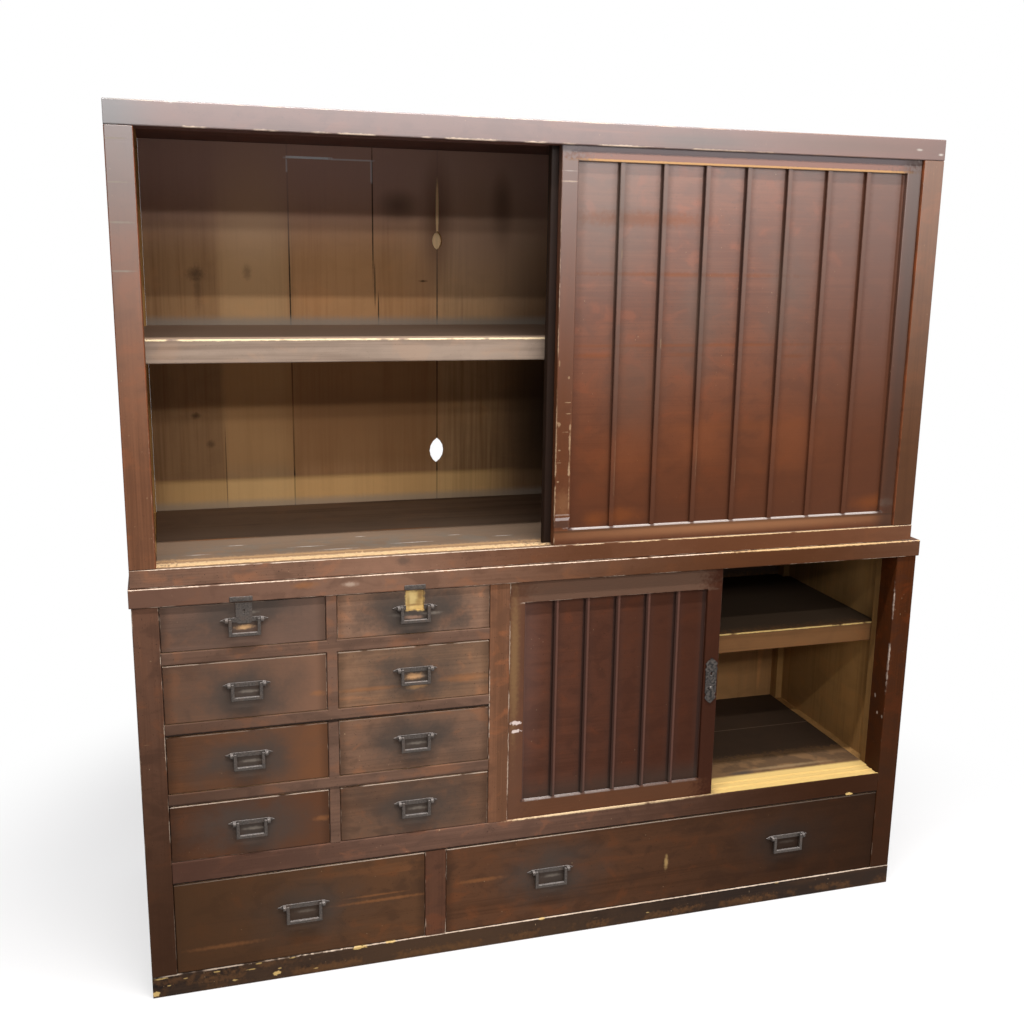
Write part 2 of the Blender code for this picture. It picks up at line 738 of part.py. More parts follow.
def door_lock_outline(centre_x, centre_z):
    """The stepped, pointed outline of the door lock plate, the same on both sides."""
    half, rise = DOOR_LOCK_WIDTH / 2, DOOR_LOCK_HEIGHT / 2
    right = (
        (0.62 * half, 0.86 * rise),
        (1.00 * half, 0.74 * rise),
        (0.78 * half, 0.64 * rise),
        (1.00 * half, 0.52 * rise),
        (0.90 * half, 0.40 * rise),
        (0.90 * half, -0.52 * rise),
        (0.70 * half, -0.62 * rise),
        (0.92 * half, -0.74 * rise),
        (0.55 * half, -0.88 * rise),
    )
    up = [(0.0, rise), *right, (0.0, -rise)]
    down = [(-x, z) for x, z in reversed(right)]
    return [(centre_x + x, centre_z + z) for x, z in up + down]


def build_door_lock(door, door_right):
    """The iron lock plate on the lower front door's closing stile, with a keyhole and a round boss."""
    x = door_right - DOOR_STILE / 2
    z = Z_DECK + DOOR_LOCK_RISE
    back = door_track(0)[0] - GAP
    front = back - DOOR_LOCK_THICKNESS
    plate = extrusion(door_lock_outline(x, z), "Y", front, back)
    eye_rise = DOOR_LOCK_HEIGHT / 6
    plate = cut(plate, keyhole(x, z + eye_rise, front - DOOR_LOCK_THICKNESS, back + DOOR_LOCK_THICKNESS))
    boss = bmesh.new()
    steps = 4
    profile = [
        boss.verts.new((LOCK_BOSS_RADIUS * math.cos(a), -LOCK_BOSS_RADIUS * math.sin(a), 0.0))
        for a in (i * math.pi / 2 / steps for i in range(steps + 1))
    ]
    foot = boss.verts.new((LOCK_BOSS_RADIUS, DOOR_LOCK_THICKNESS / 2, 0.0))
    centre = boss.verts.new((0.0, DOOR_LOCK_THICKNESS / 2, 0.0))
    chain = [centre, foot, *profile]
    edges = [boss.edges.new(pair) for pair in zip(chain, chain[1:])]
    bmesh.ops.spin(
        boss, geom=chain + edges, cent=(0, 0, 0), axis=(0, 1, 0), angle=2 * math.pi, steps=12, use_merge=True
    )
    bmesh.ops.remove_doubles(boss, verts=boss.verts, dist=1e-6)
    bmesh.ops.recalc_face_normals(boss, faces=boss.faces)
    bmesh.ops.translate(boss, verts=boss.verts, vec=(x, front, z - eye_rise))
    origin = (x, back, z)
    piece("door_lock_plate", joined(plate, boss), IRON, origin, door, smooth=True)


def build_drawer(name, left, right, low, high, lock_recess=False):
    """A drawer: a thick front with the sides, back and bottom of its tray, open on top."""
    left, right = left + DRAWER_SIDE_PLAY, right - DRAWER_SIDE_PLAY
    low, high = low + GAP, high - DRAWER_TOP_PLAY
    back = DRAWER_FACE + DRAWER_LENGTH
    tray = ease_edges(
        box((left, DRAWER_FACE, low), (right, back, high)), edge_lies_at(1, DRAWER_FACE)
    )
    inside = box(
        (left + DRAWER_SIDE, DRAWER_FACE + DRAWER_FRONT, low + DRAWER_BOTTOM),
        (right - DRAWER_SIDE, back - DRAWER_SIDE, high + DRAWER_BOTTOM),
    )
    tray = cut(tray, inside)
    middle = (left + right) / 2
    if lock_recess:
        half = LOCK_RECESS_WIDTH / 2
        pocket = box(
            (middle - half, DRAWER_FACE - DRAWER_FRONT, high - LOCK_RECESS_HEIGHT),
            (middle + half, DRAWER_FACE + LOCK_RECESS_DEPTH, high + DRAWER_BOTTOM),
        )
        tray = cut(tray, pocket)
    return piece(name, tray, LACQUER, (middle, DRAWER_FACE, low))


def lug(left, centre_y, centre_z):
    """One pierced ear of a handle mount, from the mount's back to a round nose on the pin."""
    back = DRAWER_FACE - GAP
    steps = 6
    nose = [
        (centre_y - LUG_RADIUS * math.cos(a), centre_z + LUG_RADIUS * math.sin(a))
        for a in (math.pi * (i / steps - 0.5) for i in range(steps + 1))
    ]
    outline = [*nose, (back, centre_z + LUG_RADIUS), (back, centre_z - LUG_RADIUS)]
    return extrusion(outline, "X", left, left + LUG_WIDTH)


def lug_starts(centre_x, bail_width):
    """The left faces of the two ears that carry a bail."""
    reach = bail_width / 2 + LUG_GAP
    return centre_x - reach - LUG_WIDTH, centre_x + reach


def bored(mount, starts, pivot_y, z):
    """A mount with its pin bore cut through the ears."""
    tool = cylinder((pivot_y, z), BORE_RADIUS, min(starts) - LUG_WIDTH, max(starts) + 2 * LUG_WIDTH)
    return cut(mount, tool)


def pointed_bar(left, right, z, left_point, right_point):
    """The thin bar of a mount, drawn out to a point at the ends that ask for one."""
    half = MOUNT_HEIGHT / 2
    outline = []
    if left_point:
        outline += [(left + MOUNT_POINT, z + half), (left, z), (left + MOUNT_POINT, z - half)]
    else:
        outline += [(left, z + half), (left, z - half)]
    if right_point:
        outline += [(right - MOUNT_POINT, z - half), (right, z), (right - MOUNT_POINT, z + half)]
    else:
        outline += [(right, z - half), (right, z + half)]
    back = DRAWER_FACE - GAP
    return extrusion(outline, "Y", back - MOUNT_THICKNESS, back)


def drawer_lock_shield(x, z, top):
    """The lock plate of the top left drawer, a little narrower at its foot, with a keyhole."""
    half = DRAWER_LOCK_WIDTH / 2
    low = z - DRAWER_LOCK_FOOT
    taper = DRAWER_LOCK_TAPER
    outline = (
        (x - half, top),
        (x - half, low + taper),
        (x - half + taper, low),
        (x + half - taper, low),
        (x + half, low + taper),
        (x + half, top),
    )
    back = DRAWER_FACE - GAP
    front = back - MOUNT_THICKNESS
    shield = extrusion(outline, "Y", front, back)
    eye_z = (z + top) / 2 + KEYHOLE_RADIUS
    return cut(shield, keyhole(x, eye_z, front - MOUNT_THICKNESS, back + MOUNT_THICKNESS))


def build_handle(drawer, label, x, z, mount_width, bail_width, drop, style="bar", top=0.0):
    """One bail handle: its mount with two ears, and the bail that hangs in them.

    style is "bar" for a plain mount, "lock" for one with a lock plate in its middle, and "ears" for two
    loose ends left where a lock plate has come off. top is the height of a lock plate's upper edge.
    """
    pivot_y = DRAWER_FACE - PIVOT_OUT
    origin = (x, pivot_y, z)
    starts = lug_starts(x, bail_width)
    half = mount_width / 2
    ears = [lug(start, pivot_y, z) for start in starts]
    if style == "ears":
        inner = LOCK_RECESS_WIDTH / 2 + GAP
        spans = (("left", x - half, x - inner), ("right", x + inner, x + half))
        for (side, start, end), ear, ear_start in zip(spans, ears, starts):
            bar = joined(pointed_bar(start, end, z, side == "left", side == "right"), ear)
            piece(f"{label}_{side}_mount", bored(bar, (ear_start,), pivot_y, z), IRON, origin, drawer, True)
    else:
        mount = pointed_bar(x - half, x + half, z, True, True)
        if style == "lock":
            mount = joined(mount, drawer_lock_shield(x, z, top))
        for ear in ears:
            mount = joined(mount, ear)
        piece(f"{label}_mount", bored(mount, starts, pivot_y, z), IRON, origin, drawer, True)
    build_bail(drawer, f"{label}_bail", origin, bail_width, drop)


def build_bail(drawer, name, origin, width, drop):
    """A square-cornered bail with round pins turned outwards at its ends."""
    x, y, z = origin
    half, bar = width / 2, BAIL_BAR
    top = z + bar / 2
    outline = (
        (x - half, top),
        (x - half, z - drop),
        (x + half, z - drop),
        (x + half, top),
        (x + half - bar, top),
        (x + half - bar, z - drop + bar),
        (x - half + bar, z - drop + bar),
        (x - half + bar, top),
    )
    bail = extrusion(outline, "Y", y - bar / 2, y + bar / 2)
    bail = ease_edges(bail, lambda edge: True, BAIL_EASE)
    reach = half + LUG_GAP + LUG_WIDTH
    for start, end in ((x - reach, x - half + bar / 2), (x + half - bar / 2, x + reach)):
        bail = joined(bail, cylinder((y, z), PIN_RADIUS, start, end))
    piece(name, bail, IRON, origin, drawer, True)


def build_small_drawers():
    """Two columns of four small drawers, numbered from the top, each with one bail handle."""
    for column, left in (("left", INNER_LEFT), ("inner", DIVIDER_RIGHT)):
        for number in range(1, FULL_ROWS + 2):
            low = Z_DECK + (FULL_ROWS + 1 - number) * ROW_PITCH
            is_top = number == 1
            high = low + (TOP_DRAWER_OPENING if is_top else SMALL_DRAWER_OPENING)
            style = {"left": "lock", "inner": "ears"}[column] if is_top else "bar"
            label = f"{column}_drawer_{number}"
            drawer = build_drawer(
                label, left, left + DRAWER_COLUMN_WIDTH, low, high, lock_recess=style == "ears"
            )
            build_handle(
                drawer,
                label,
                left + DRAWER_COLUMN_WIDTH / 2,
                (low + high) / 2 + SMALL_HANDLE_RISE,
                SMALL_BAIL_WIDTH + 2 * SMALL_MOUNT_TAIL,
                SMALL_BAIL_WIDTH,
                SMALL_BAIL_DROP,
                style,
                high - DRAWER_TOP_PLAY - ARRIS,
            )


def build_bottom_drawers():
    """The two wide drawers at the bottom, with one handle on the left one and two on the right one."""
    divider_left = INNER_LEFT + BOTTOM_LEFT_OPENING
    divider_right = divider_left + BOTTOM_DIVIDER_WIDTH
    spans = (
        ("bottom_left_drawer", INNER_LEFT, divider_left, {"": 0.0}),
        (
            "bottom_right_drawer",
            divider_right,
            INNER_RIGHT,
            {"_left": -WIDE_HANDLE_SPREAD / 2, "_right": WIDE_HANDLE_SPREAD / 2},
        ),
    )
    for name, left, right, handles in spans:
        drawer = build_drawer(name, left, right, Z_BASE, Z_MIDDLE)
        for suffix, offset in handles.items():
            build_handle(
                drawer,
                name + suffix,
                (left + right) / 2 + offset,
                (Z_BASE + Z_MIDDLE) / 2 + LARGE_HANDLE_RISE,
                LARGE_BAIL_WIDTH + 2 * LARGE_MOUNT_TAIL,
                LARGE_BAIL_WIDTH,
                LARGE_BAIL_DROP,
            )


def build_doors():
    """Both pairs of sliding doors, and the lock plate of the lower front door."""
    build_door_pair(
        "upper",
        UPPER_INNER_LEFT,
        UPPER_INNER_RIGHT,
        UPPER_DOOR_OVERLAP,
        Z_SILL - GAP,
        Z_UPPER_HEAD,
        UPPER_DOOR_TOP_RAIL,
        UPPER_DOOR_BOTTOM_RAIL,
        UPPER_BATTENS,
        at_right=True,
    )
    door, door_right = build_door_pair(
        "lower",
        CUPBOARD_LEFT,
        INNER_RIGHT,
        LOWER_DOOR_OVERLAP,
        Z_DECK - GAP,
        Z_LOWER_HEAD,
        LOWER_DOOR_TOP_RAIL,
        LOWER_DOOR_BOTTOM_RAIL,
        LOWER_BATTENS,
        at_right=False,
    )
    build_door_lock(door, door_right)


def main():
    """Build the whole cabinet."""
    clear_scene()
    build_lower_case()
    build_upper_case()
    build_doors()
    build_small_drawers()
    build_bottom_drawers()


main()
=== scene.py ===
"""Looks of a two-part stacking cabinet: worn dark lacquer, bare cedar inside and forged iron fittings."""

from __future__ import annotations

import json
import logging
import math
from dataclasses import dataclass, field, replace
from enum import Enum
from typing import Callable, Optional, Sequence, Union

import bpy
from mathutils import Matrix, Vector

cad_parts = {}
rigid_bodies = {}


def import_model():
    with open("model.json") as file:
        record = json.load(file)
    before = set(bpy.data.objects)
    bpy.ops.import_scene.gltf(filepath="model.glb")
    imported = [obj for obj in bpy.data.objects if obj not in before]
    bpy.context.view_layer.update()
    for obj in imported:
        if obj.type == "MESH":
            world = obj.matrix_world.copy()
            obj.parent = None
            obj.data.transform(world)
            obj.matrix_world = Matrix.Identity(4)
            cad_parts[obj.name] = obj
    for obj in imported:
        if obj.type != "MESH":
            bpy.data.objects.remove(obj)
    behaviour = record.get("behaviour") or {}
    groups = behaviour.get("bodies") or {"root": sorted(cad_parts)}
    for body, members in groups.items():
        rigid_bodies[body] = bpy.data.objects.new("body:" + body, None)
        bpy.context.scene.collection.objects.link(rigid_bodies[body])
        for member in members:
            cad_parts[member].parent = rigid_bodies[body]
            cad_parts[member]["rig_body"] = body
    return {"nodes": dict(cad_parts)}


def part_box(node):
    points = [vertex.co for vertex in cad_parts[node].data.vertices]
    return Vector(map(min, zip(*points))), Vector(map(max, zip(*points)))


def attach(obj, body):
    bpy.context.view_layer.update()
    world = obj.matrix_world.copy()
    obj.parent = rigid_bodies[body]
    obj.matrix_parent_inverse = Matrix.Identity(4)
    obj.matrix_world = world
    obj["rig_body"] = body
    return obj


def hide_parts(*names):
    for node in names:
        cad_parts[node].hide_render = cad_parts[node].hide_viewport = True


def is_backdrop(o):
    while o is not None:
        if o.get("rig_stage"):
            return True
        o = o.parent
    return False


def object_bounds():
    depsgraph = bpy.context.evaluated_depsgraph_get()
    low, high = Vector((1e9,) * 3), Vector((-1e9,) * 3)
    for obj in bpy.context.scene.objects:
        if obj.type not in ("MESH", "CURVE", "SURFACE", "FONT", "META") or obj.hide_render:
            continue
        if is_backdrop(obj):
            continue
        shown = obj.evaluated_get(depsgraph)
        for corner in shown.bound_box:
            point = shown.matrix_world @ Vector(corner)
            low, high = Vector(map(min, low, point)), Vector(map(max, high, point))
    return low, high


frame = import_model()

LOG = logging.getLogger("cabinet")
Colour = tuple[float, float, float]
Triple = tuple[float, float, float]

# Places on the cabinet and depths behind its faces, in metres.
CASE_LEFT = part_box("lower_left_post")[0].x
CASE_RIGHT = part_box("lower_right_post")[1].x
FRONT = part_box("upper_left_post")[0].y
DRAWER_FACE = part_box("left_drawer_2")[0].y
FACE_DEPTH = 0.020
END_MIDDLE = 0.024
BOARD_ARRIS = 0.0006
FRONT_SKIN = 0.0012
DRAWER_SKIN = 0.0025
INSIDE_FROM = 0.065

# The share of a normal along an axis below which a face looks straight, or mostly, the other way.
STRAIGHT = -0.9
MOSTLY = -0.5

# How a mesh is cleaned, eased and smoothed.
MERGE_WITHIN = 1e-5
FLAT_WITHIN = math.radians(1.0)
ARRIS_FROM = math.radians(40.0)
SMOOTH_BELOW = math.radians(35.0)

# The rays that see the floor and the world as white.
BACKDROP_RAYS = ("Is Camera Ray", "Is Glossy Ray", "Is Transmission Ray")

# Scales of noise in the finishes: along and across the grain, or by axis.
FIBRE_SCALE = (5.0, 260.0)
BAND_SCALE = (0.9, 26.0)
STREAK_SCALE = (2.4, 46.0)
CLOUD_SCALE = (0.7, 2.6, 2.6)
RAG_SCALE = (140.0, 140.0, 140.0)
GATE_SCALE = (17.0, 17.0, 17.0)
MOTTLE_SCALE = (16.0, 16.0, 24.0)
SPECK_SCALE = (330.0, 330.0, 330.0)
NICK_SCALE = (210.0, 210.0, 150.0)
SCRATCH_SCALE = (30.0, 300.0, 420.0)
RUST_SCALE = (60.0, 60.0, 60.0)

# Shares, roughness and relief in the finishes.
GATE_EDGE = 0.06
DEEPER = 0.68
WARMER = (1.9, 1.6, 1.3)
DULLER = 0.62
RUDDIER = (1.35, 1.10, 0.90)
BARE_FROM = 0.5
SHEEN_RISE = (1.05, 1.80)
COAT_ROUGHNESS = 0.37
COAT_IOR = 2.0
GRAIN_BUMP = (0.25, 0.0008)
IRON_BUMP = (0.3, 0.0004)


class Axis(Enum):
    """A direction that timber grain can run in."""

    X = 0
    Y = 1
    Z = 2


class Value:
    """A socket of a node tree that adds Math nodes when it is used in an expression."""

    def __init__(self, graph: "NodeTree", socket: bpy.types.NodeSocket) -> None:
        """Wrap one output socket of a tree."""
        self.graph = graph
        self.socket = socket

    def _math(self, operation: str, *terms: Operand) -> "Value":
        """Add a Math node over the given terms."""
        made = self.graph.node("ShaderNodeMath", {"operation": operation}, dict(enumerate(terms)))
        return Value(self.graph, made.outputs[0])

    def __add__(self, other: Operand) -> "Value":
        """Sum of two values."""
        return self._math("ADD", self, other)

    def __radd__(self, other: Operand) -> "Value":
        """Sum with a number in front."""
        return self._math("ADD", other, self)

    def __sub__(self, other: Operand) -> "Value":
        """Difference of two values."""
        return self._math("SUBTRACT", self, other)

    def __rsub__(self, other: Operand) -> "Value":
        """Difference from a number."""
        return self._math("SUBTRACT", other, self)

    def __mul__(self, other: Operand) -> "Value":
        """Product of two values."""
        return self._math("MULTIPLY", self, other)

    def __rmul__(self, other: Operand) -> "Value":
        """Product with a number in front."""
        return self._math("MULTIPLY", other, self)

    def __abs__(self) -> "Value":
        """Size without sign."""
        return self._math("ABSOLUTE", self)

    def __round__(self) -> "Value":
        """Nearest whole number."""
        return self._math("ROUND", self)

    def or_more(self, other: Operand) -> "Value":
        """The greater of two values."""
        return self._math("MAXIMUM", self, other)

    def ramp(self, low: float, high: float, first: float = 0.0, last: float = 1.0) -> "Value":
        """A smooth step from first to last as this value goes from low to high.

        Args:
            low: Where the step starts.
            high: Where the step ends.
            first: The result at and before the start.
            last: The result at and after the end.

        Returns:
            The stepped value.
        """
        made = self.graph.node(
            "ShaderNodeMapRange",
            {"interpolation_type": "SMOOTHSTEP"},
            {"Value": self, "From Min": low, "From Max": high, "To Min": first, "To Max": last},
        )
        return Value(self.graph, made.outputs[0])


Operand = Union[Value, float]


class NodeTree:
    """The nodes of one material or world."""

    def __init__(self, tree: bpy.types.NodeTree) -> None:
        """Hold the tree that new nodes go into."""
        self.tree = tree

    def node(
        self, kind: str, settings: Optional[dict] = None, inputs: Optional[dict] = None
    ) -> bpy.types.Node:
        """Add a node of any kind.

        Args:
            kind: The node's type name.
            settings: Properties of the node, set before its sockets.
            inputs: Numbers, colours or values for its input sockets, by name or index.

        Returns:
            The new node.
        """
        made = self.tree.nodes.new(kind)
        for key, setting in (settings or {}).items():
            setattr(made, key, setting)
        for key, given in (inputs or {}).items():
            self.feed(made.inputs[key], given)
        return made

    def feed(self, socket: bpy.types.NodeSocket, given: object) -> None:
        """Link a value to a socket, or set the socket to a constant.

        Args:
            socket: The input socket.
            given: A value to link, or a number or colour to set.
        """
        if isinstance(given, Value):
            self.tree.links.new(given.socket, socket)
        else:
            socket.default_value = given

    def backdrop_rays(self) -> list[Value]:
        """The rays that show the backdrop: of sight, by way of metal and by way of glass."""
        path = self.node("ShaderNodeLightPath")
        return [Value(self, path.outputs[ray]) for ray in BACKDROP_RAYS]


class Graph(NodeTree):
    """The node tree of one new material, with its Principled shader."""

    def __init__(self, name: str) -> None:
        """Make the material, find its shader and read the place on the piece.

        Args:
            name: The material's name.
        """
        self.material = bpy.data.materials.new(name)
        self.material.use_nodes = True
        super().__init__(self.material.node_tree)
        self.shader = self.tree.nodes["Principled BSDF"]
        coordinates = self.node("ShaderNodeTexCoord")
        self.place = Value(self, coordinates.outputs["Object"])
        parts = self.node("ShaderNodeSeparateXYZ", inputs={0: self.place})
        self.x, self.y, self.z = (Value(self, socket) for socket in parts.outputs)

    def scaled(self, place: Value, scale: Triple, shift: Triple = (0.0, 0.0, 0.0)) -> Value:
        """A place stretched by axis and then shifted."""
        made = self.node("ShaderNodeMapping", inputs={"Vector": place, "Scale": scale, "Location": shift})
        return Value(self, made.outputs[0])

    def noise(self, place: Value, scale: float = 1.0, detail: float = 2.0, warp: float = 0.0) -> Value:
        """Cloudy noise at a place, between about 0.2 and 0.8."""
        made = self.node(
            "ShaderNodeTexNoise",
            inputs={"Vector": place, "Scale": scale, "Detail": detail, "Distortion": warp},
        )
        return Value(self, made.outputs["Fac"])

    def mixed(self, share: Operand, first: object, second: object) -> Value:
        """A colour between two colours, by a share from 0 to 1."""
        made = self.node(
            "ShaderNodeMix",
            {"data_type": "RGBA"},
            {0: share, 6: self.solid(first), 7: self.solid(second)},
        )
        return Value(self, made.outputs[2])

    @staticmethod
    def solid(colour: object) -> object:
        """A plain colour with its alpha, or a value as it is."""
        return colour if isinstance(colour, Value) else (*colour, 1.0)

    def bump(self, height: Value, strength: float, distance: float) -> None:
        """Drive the shader's normal from a height."""
        made = self.node(
            "ShaderNodeBump", inputs={"Height": height, "Strength": strength, "Distance": distance}
        )
        self.feed(self.shader.inputs["Normal"], Value(self, made.outputs[0]))


@dataclass
class Surface:
    """What a finish has painted so far on one graph."""

    graph: Graph
    colour: Value
    roughness: Value
    height: Value
    rag: Value
    gate: Value
    cover: Operand = 1.0

    def cover_with(self, share: Value, colour: Colour, roughness: float) -> None:
        """Lay another colour over a share of the surface.

        Args:
            share: Where it lies, from 0 to 1.
            colour: Its colour.
            roughness: Its roughness; what is rough also takes the lacquer off.
        """
        self.colour = self.graph.mixed(share, self.colour, colour)
        self.roughness = self.roughness + share * (roughness - self.roughness)
        if roughness > BARE_FROM:
            self.cover = (1.0 - share) * self.cover


@dataclass(frozen=True)
class Patch:
    """A ragged spot, halo or line of another colour, as an ellipsoid about a centre.

    A radius of zero leaves that axis out, so a patch can run on without end along it.
    """

    centre: Triple
    radii: Triple
    colour: Colour
    amount: float = 1.0
    ragged: float = 0.6
    soft: float = 0.3
    broken: float = 0.0
    roughness: float = 0.65
    square: bool = False
    blotch: float = 0.0

    def lay(self, surface: Surface) -> None:
        """Paint this patch over a surface.

        Args:
            surface: What has been painted so far.
        """
        graph = surface.graph
        reach = self._reach(graph) + (surface.rag - 0.5) * (2.0 * self.ragged)
        if self.blotch:
            reach = reach + (surface.gate - 0.5) * (2.0 * self.blotch)
        share = reach.ramp(1.0 - self.soft, 1.0 + self.soft, self.amount, 0.0)
        if self.broken:
            share = share * surface.gate.ramp(self.broken - GATE_EDGE, self.broken + GATE_EDGE)
        surface.cover_with(share, self.colour, self.roughness)

    def _reach(self, graph: Graph) -> Value:
        """How far out a place is, where 1 is the patch's edge.

        Args:
            graph: The graph to read the place from.

        Returns:
            The distance as a value.
        """
        scale = tuple(1.0 / r if r else 0.0 for r in self.radii)
        shift = tuple(-c * s for c, s in zip(self.centre, scale))
        inside = graph.scaled(graph.place, scale, shift)
        if not self.square:
            length = graph.node("ShaderNodeVectorMath", {"operation": "LENGTH"}, {0: inside})
            return Value(graph, length.outputs["Value"])
        parts = graph.node("ShaderNodeSeparateXYZ", inputs={0: inside})
        x, y, z = (abs(Value(graph, socket)) for socket in parts.outputs)
        return x.or_more(y).or_more(z)


@dataclass(frozen=True)
class Rungs:
    """Thin upright lines at an even pitch, such as the painted shadow beside battens."""

    first: float
    pitch: float
    half: float
    colour: Colour
    amount: float
    bottom: float
    top: float
    fade_down: float = 0.001
    fade_up: float = 0.002
    roughness: float = 0.6

    def lay(self, surface: Surface) -> None:
        """Paint the lines over a surface, between their bottom and top.

        Args:
            surface: What has been painted so far.
        """
        graph = surface.graph
        step = (graph.x - self.first) * (1.0 / self.pitch)
        reach = abs(step - round(step)) * self.pitch + (surface.rag - 0.5) * (0.6 * self.half)
        share = reach.ramp(0.5 * self.half, 1.5 * self.half, self.amount, 0.0)
        share = share * graph.z.ramp(self.top, self.top + self.fade_up, 1.0, 0.0)
        share = share * graph.z.ramp(self.bottom - self.fade_down, self.bottom)
        surface.cover_with(share, self.colour, self.roughness)


Mark = Union[Patch, Rungs]


@dataclass(frozen=True)
class Turn:
    """A part of a piece, between two planes, where the grain runs along another axis."""

    across: Axis
    low: float
    high: float
    grain: Axis


@dataclass(frozen=True)
class Timber:
    """A wood finish: the colours in its grain, its gloss and its damage."""

    deep: Colour
    body: Colour
    warm: Colour
    bare: Colour
    streaks: float = 0.35
    roughness: float = 0.42
    coat: float = 0.0
    gloss: float = 0.07
    mottle: float = 0.5
    nicks: float = 0.25
    stretch: float = 1.0

    def tinted(self, body: Colour) -> "Timber":
        """The same finish in another stain, with its dark and warm grain to match.

        Args:
            body: The stain.

        Returns:
            The stained finish.
        """
        deep = tuple(DEEPER * part for part in body)
        warm = tuple(by * part for by, part in zip(WARMER, body))
        return replace(self, body=body, deep=deep, warm=warm)

    def paint(
        self, name: str, grain: Axis, seed: float, patches: Sequence[Mark] = (), turn: Optional[Turn] = None
    ) -> bpy.types.Material:
        """Make this finish as a material for one piece.

        Args:
            name: The material's name.
            grain: The way the grain runs.
            seed: A number that sets this piece's own grain.
            patches: Spots, halos and worn lines to lay over it, in order.
            turn: A part where the grain runs another way.

        Returns:
            The material.
        """
        graph = Graph(name)
        place = self._along(graph, grain, turn)
        fibre = graph.noise(self._grain(graph, place, FIBRE_SCALE, seed), detail=3.0)
        band = graph.noise(self._grain(graph, place, BAND_SCALE, seed + 7.3), detail=3.0, warp=0.5)
        cloud = graph.noise(graph.scaled(place, CLOUD_SCALE, (seed, -seed, seed * 0.5)), detail=3.0)
        tone = fibre * 0.5 + band * 0.7 + cloud * 0.7 - 0.45
        colour = graph.mixed(tone.ramp(0.25, 0.62), self.deep, self.body)
        streak = graph.noise(self._grain(graph, place, STREAK_SCALE, seed + 3.1), detail=2.0, warp=0.3)
        thin = streak.ramp(0.58, 0.76) * cloud.ramp(0.46, 0.66) * self.streaks
        colour = graph.mixed(thin, colour, self.warm)
        rag = graph.noise(graph.scaled(graph.place, RAG_SCALE, (seed, seed, seed)), detail=4.0)
        gate = graph.noise(graph.scaled(graph.place, GATE_SCALE, (-seed, seed, 0.0)), detail=4.0)
        colour = self._mottled(graph, colour, seed)
        rough = cloud.ramp(0.3, 0.7, self.roughness - 0.05, self.roughness + 0.06)
        surface = Surface(graph, colour, rough, fibre * 0.6 + band * 0.4, rag, gate)
        if self.nicks:
            self._nick(surface, seed)
        for patch in patches:
            patch.lay(surface)
        self._finish(surface)
        return graph.material

    def _mottled(self, graph: Graph, colour: Value, seed: float) -> Value:
        """Cloud the stain with dull and ruddy blotches and a few dark specks.

        Args:
            graph: The graph to add to.
            colour: The stain so far.
            seed: A number that sets this piece's own blotches.

        Returns:
            The clouded stain.
        """
        blotches = graph.scaled(graph.place, MOTTLE_SCALE, (seed, seed, -seed))
        wide = graph.noise(blotches, detail=4.0, warp=0.6)
        fine = graph.noise(graph.scaled(graph.place, SPECK_SCALE, (seed, 0.0, seed)), detail=2.0)
        dull = tuple(DULLER * part + 0.004 for part in self.body)
        ruddy = tuple(by * part for by, part in zip(RUDDIER, self.body))
        colour = graph.mixed(wide.ramp(0.50, 0.66, 0.0, 0.75 * self.mottle), colour, dull)
        colour = graph.mixed(wide.ramp(0.46, 0.32, 0.0, 0.65 * self.mottle), colour, ruddy)
        return graph.mixed(fine.ramp(0.66, 0.74, 0.0, 0.6 * self.mottle), colour, DARK)

    @staticmethod
    def _along(graph: Graph, grain: Axis, turn: Optional[Turn]) -> Value:
        """The place with its first axis along the grain, swapped where the grain turns.

        Args:
            graph: The graph to read the place from.
            grain: The way the grain runs.
            turn: A part where it runs another way.

        Returns:
            The place as a value.
        """
        plain = Timber._swapped(graph, grain)
        if turn is None:
            return plain
        value = (graph.x, graph.y, graph.z)[turn.across.value]
        edge = 0.0001
        above = value.ramp(turn.low - edge, turn.low + edge)
        below = value.ramp(turn.high - edge, turn.high + edge, 1.0, 0.0)
        made = graph.node(
            "ShaderNodeMix",
            {"data_type": "VECTOR"},
            {0: above * below, 4: plain, 5: Timber._swapped(graph, turn.grain)},
        )
        return Value(graph, made.outputs[1])

    @staticmethod
    def _swapped(graph: Graph, grain: Axis) -> Value:
        """The place with the grain's own axis first.

        Args:
            graph: The graph to read the place from.
            grain: The way the grain runs.

        Returns:
            The place as a value.
        """
        if grain is Axis.X:
            return graph.place
        order = (graph.z, graph.y, graph.x) if grain is Axis.Z else (graph.y, graph.x, graph.z)
        made = graph.node("ShaderNodeCombineXYZ", inputs=dict(enumerate(order)))
        return Value(graph, made.outputs[0])

    def _grain(self, graph: Graph, place: Value, scale: tuple[float, float], seed: float) -> Value:
        """A place stretched along the grain for a noise.

        Args:
            graph: The graph to add to.
            place: The place with the grain's own axis first.
            scale: The noise's scale along and across the grain.
            seed: A number that sets this piece's own grain.

        Returns:
            The stretched place.
        """
        along, across = scale
        wide = across / self.stretch
        return graph.scaled(place, (along, wide, wide), (seed * 3.7, seed * 1.9, seed * 2.3))

    def _nick(self, surface: Surface, seed: float) -> None:
        """Scatter small pale nicks and short scratches.

        Args:
            surface: What has been painted so far.
            seed: A number that sets this piece's own nicks.
        """
        graph = surface.graph
        spots = graph.noise(graph.scaled(graph.place, NICK_SCALE, (seed, 0.0, -seed)), detail=1.0)
        lines = graph.noise(graph.scaled(graph.place, SCRATCH_SCALE, (0.0, seed, seed)), detail=1.0)
        share = spots.ramp(0.76, 0.80) + lines.ramp(0.79, 0.83) * 0.6
        share = share * surface.gate.ramp(0.5, 0.62) * self.nicks
        surface.colour = graph.mixed(share, surface.colour, self.bare)

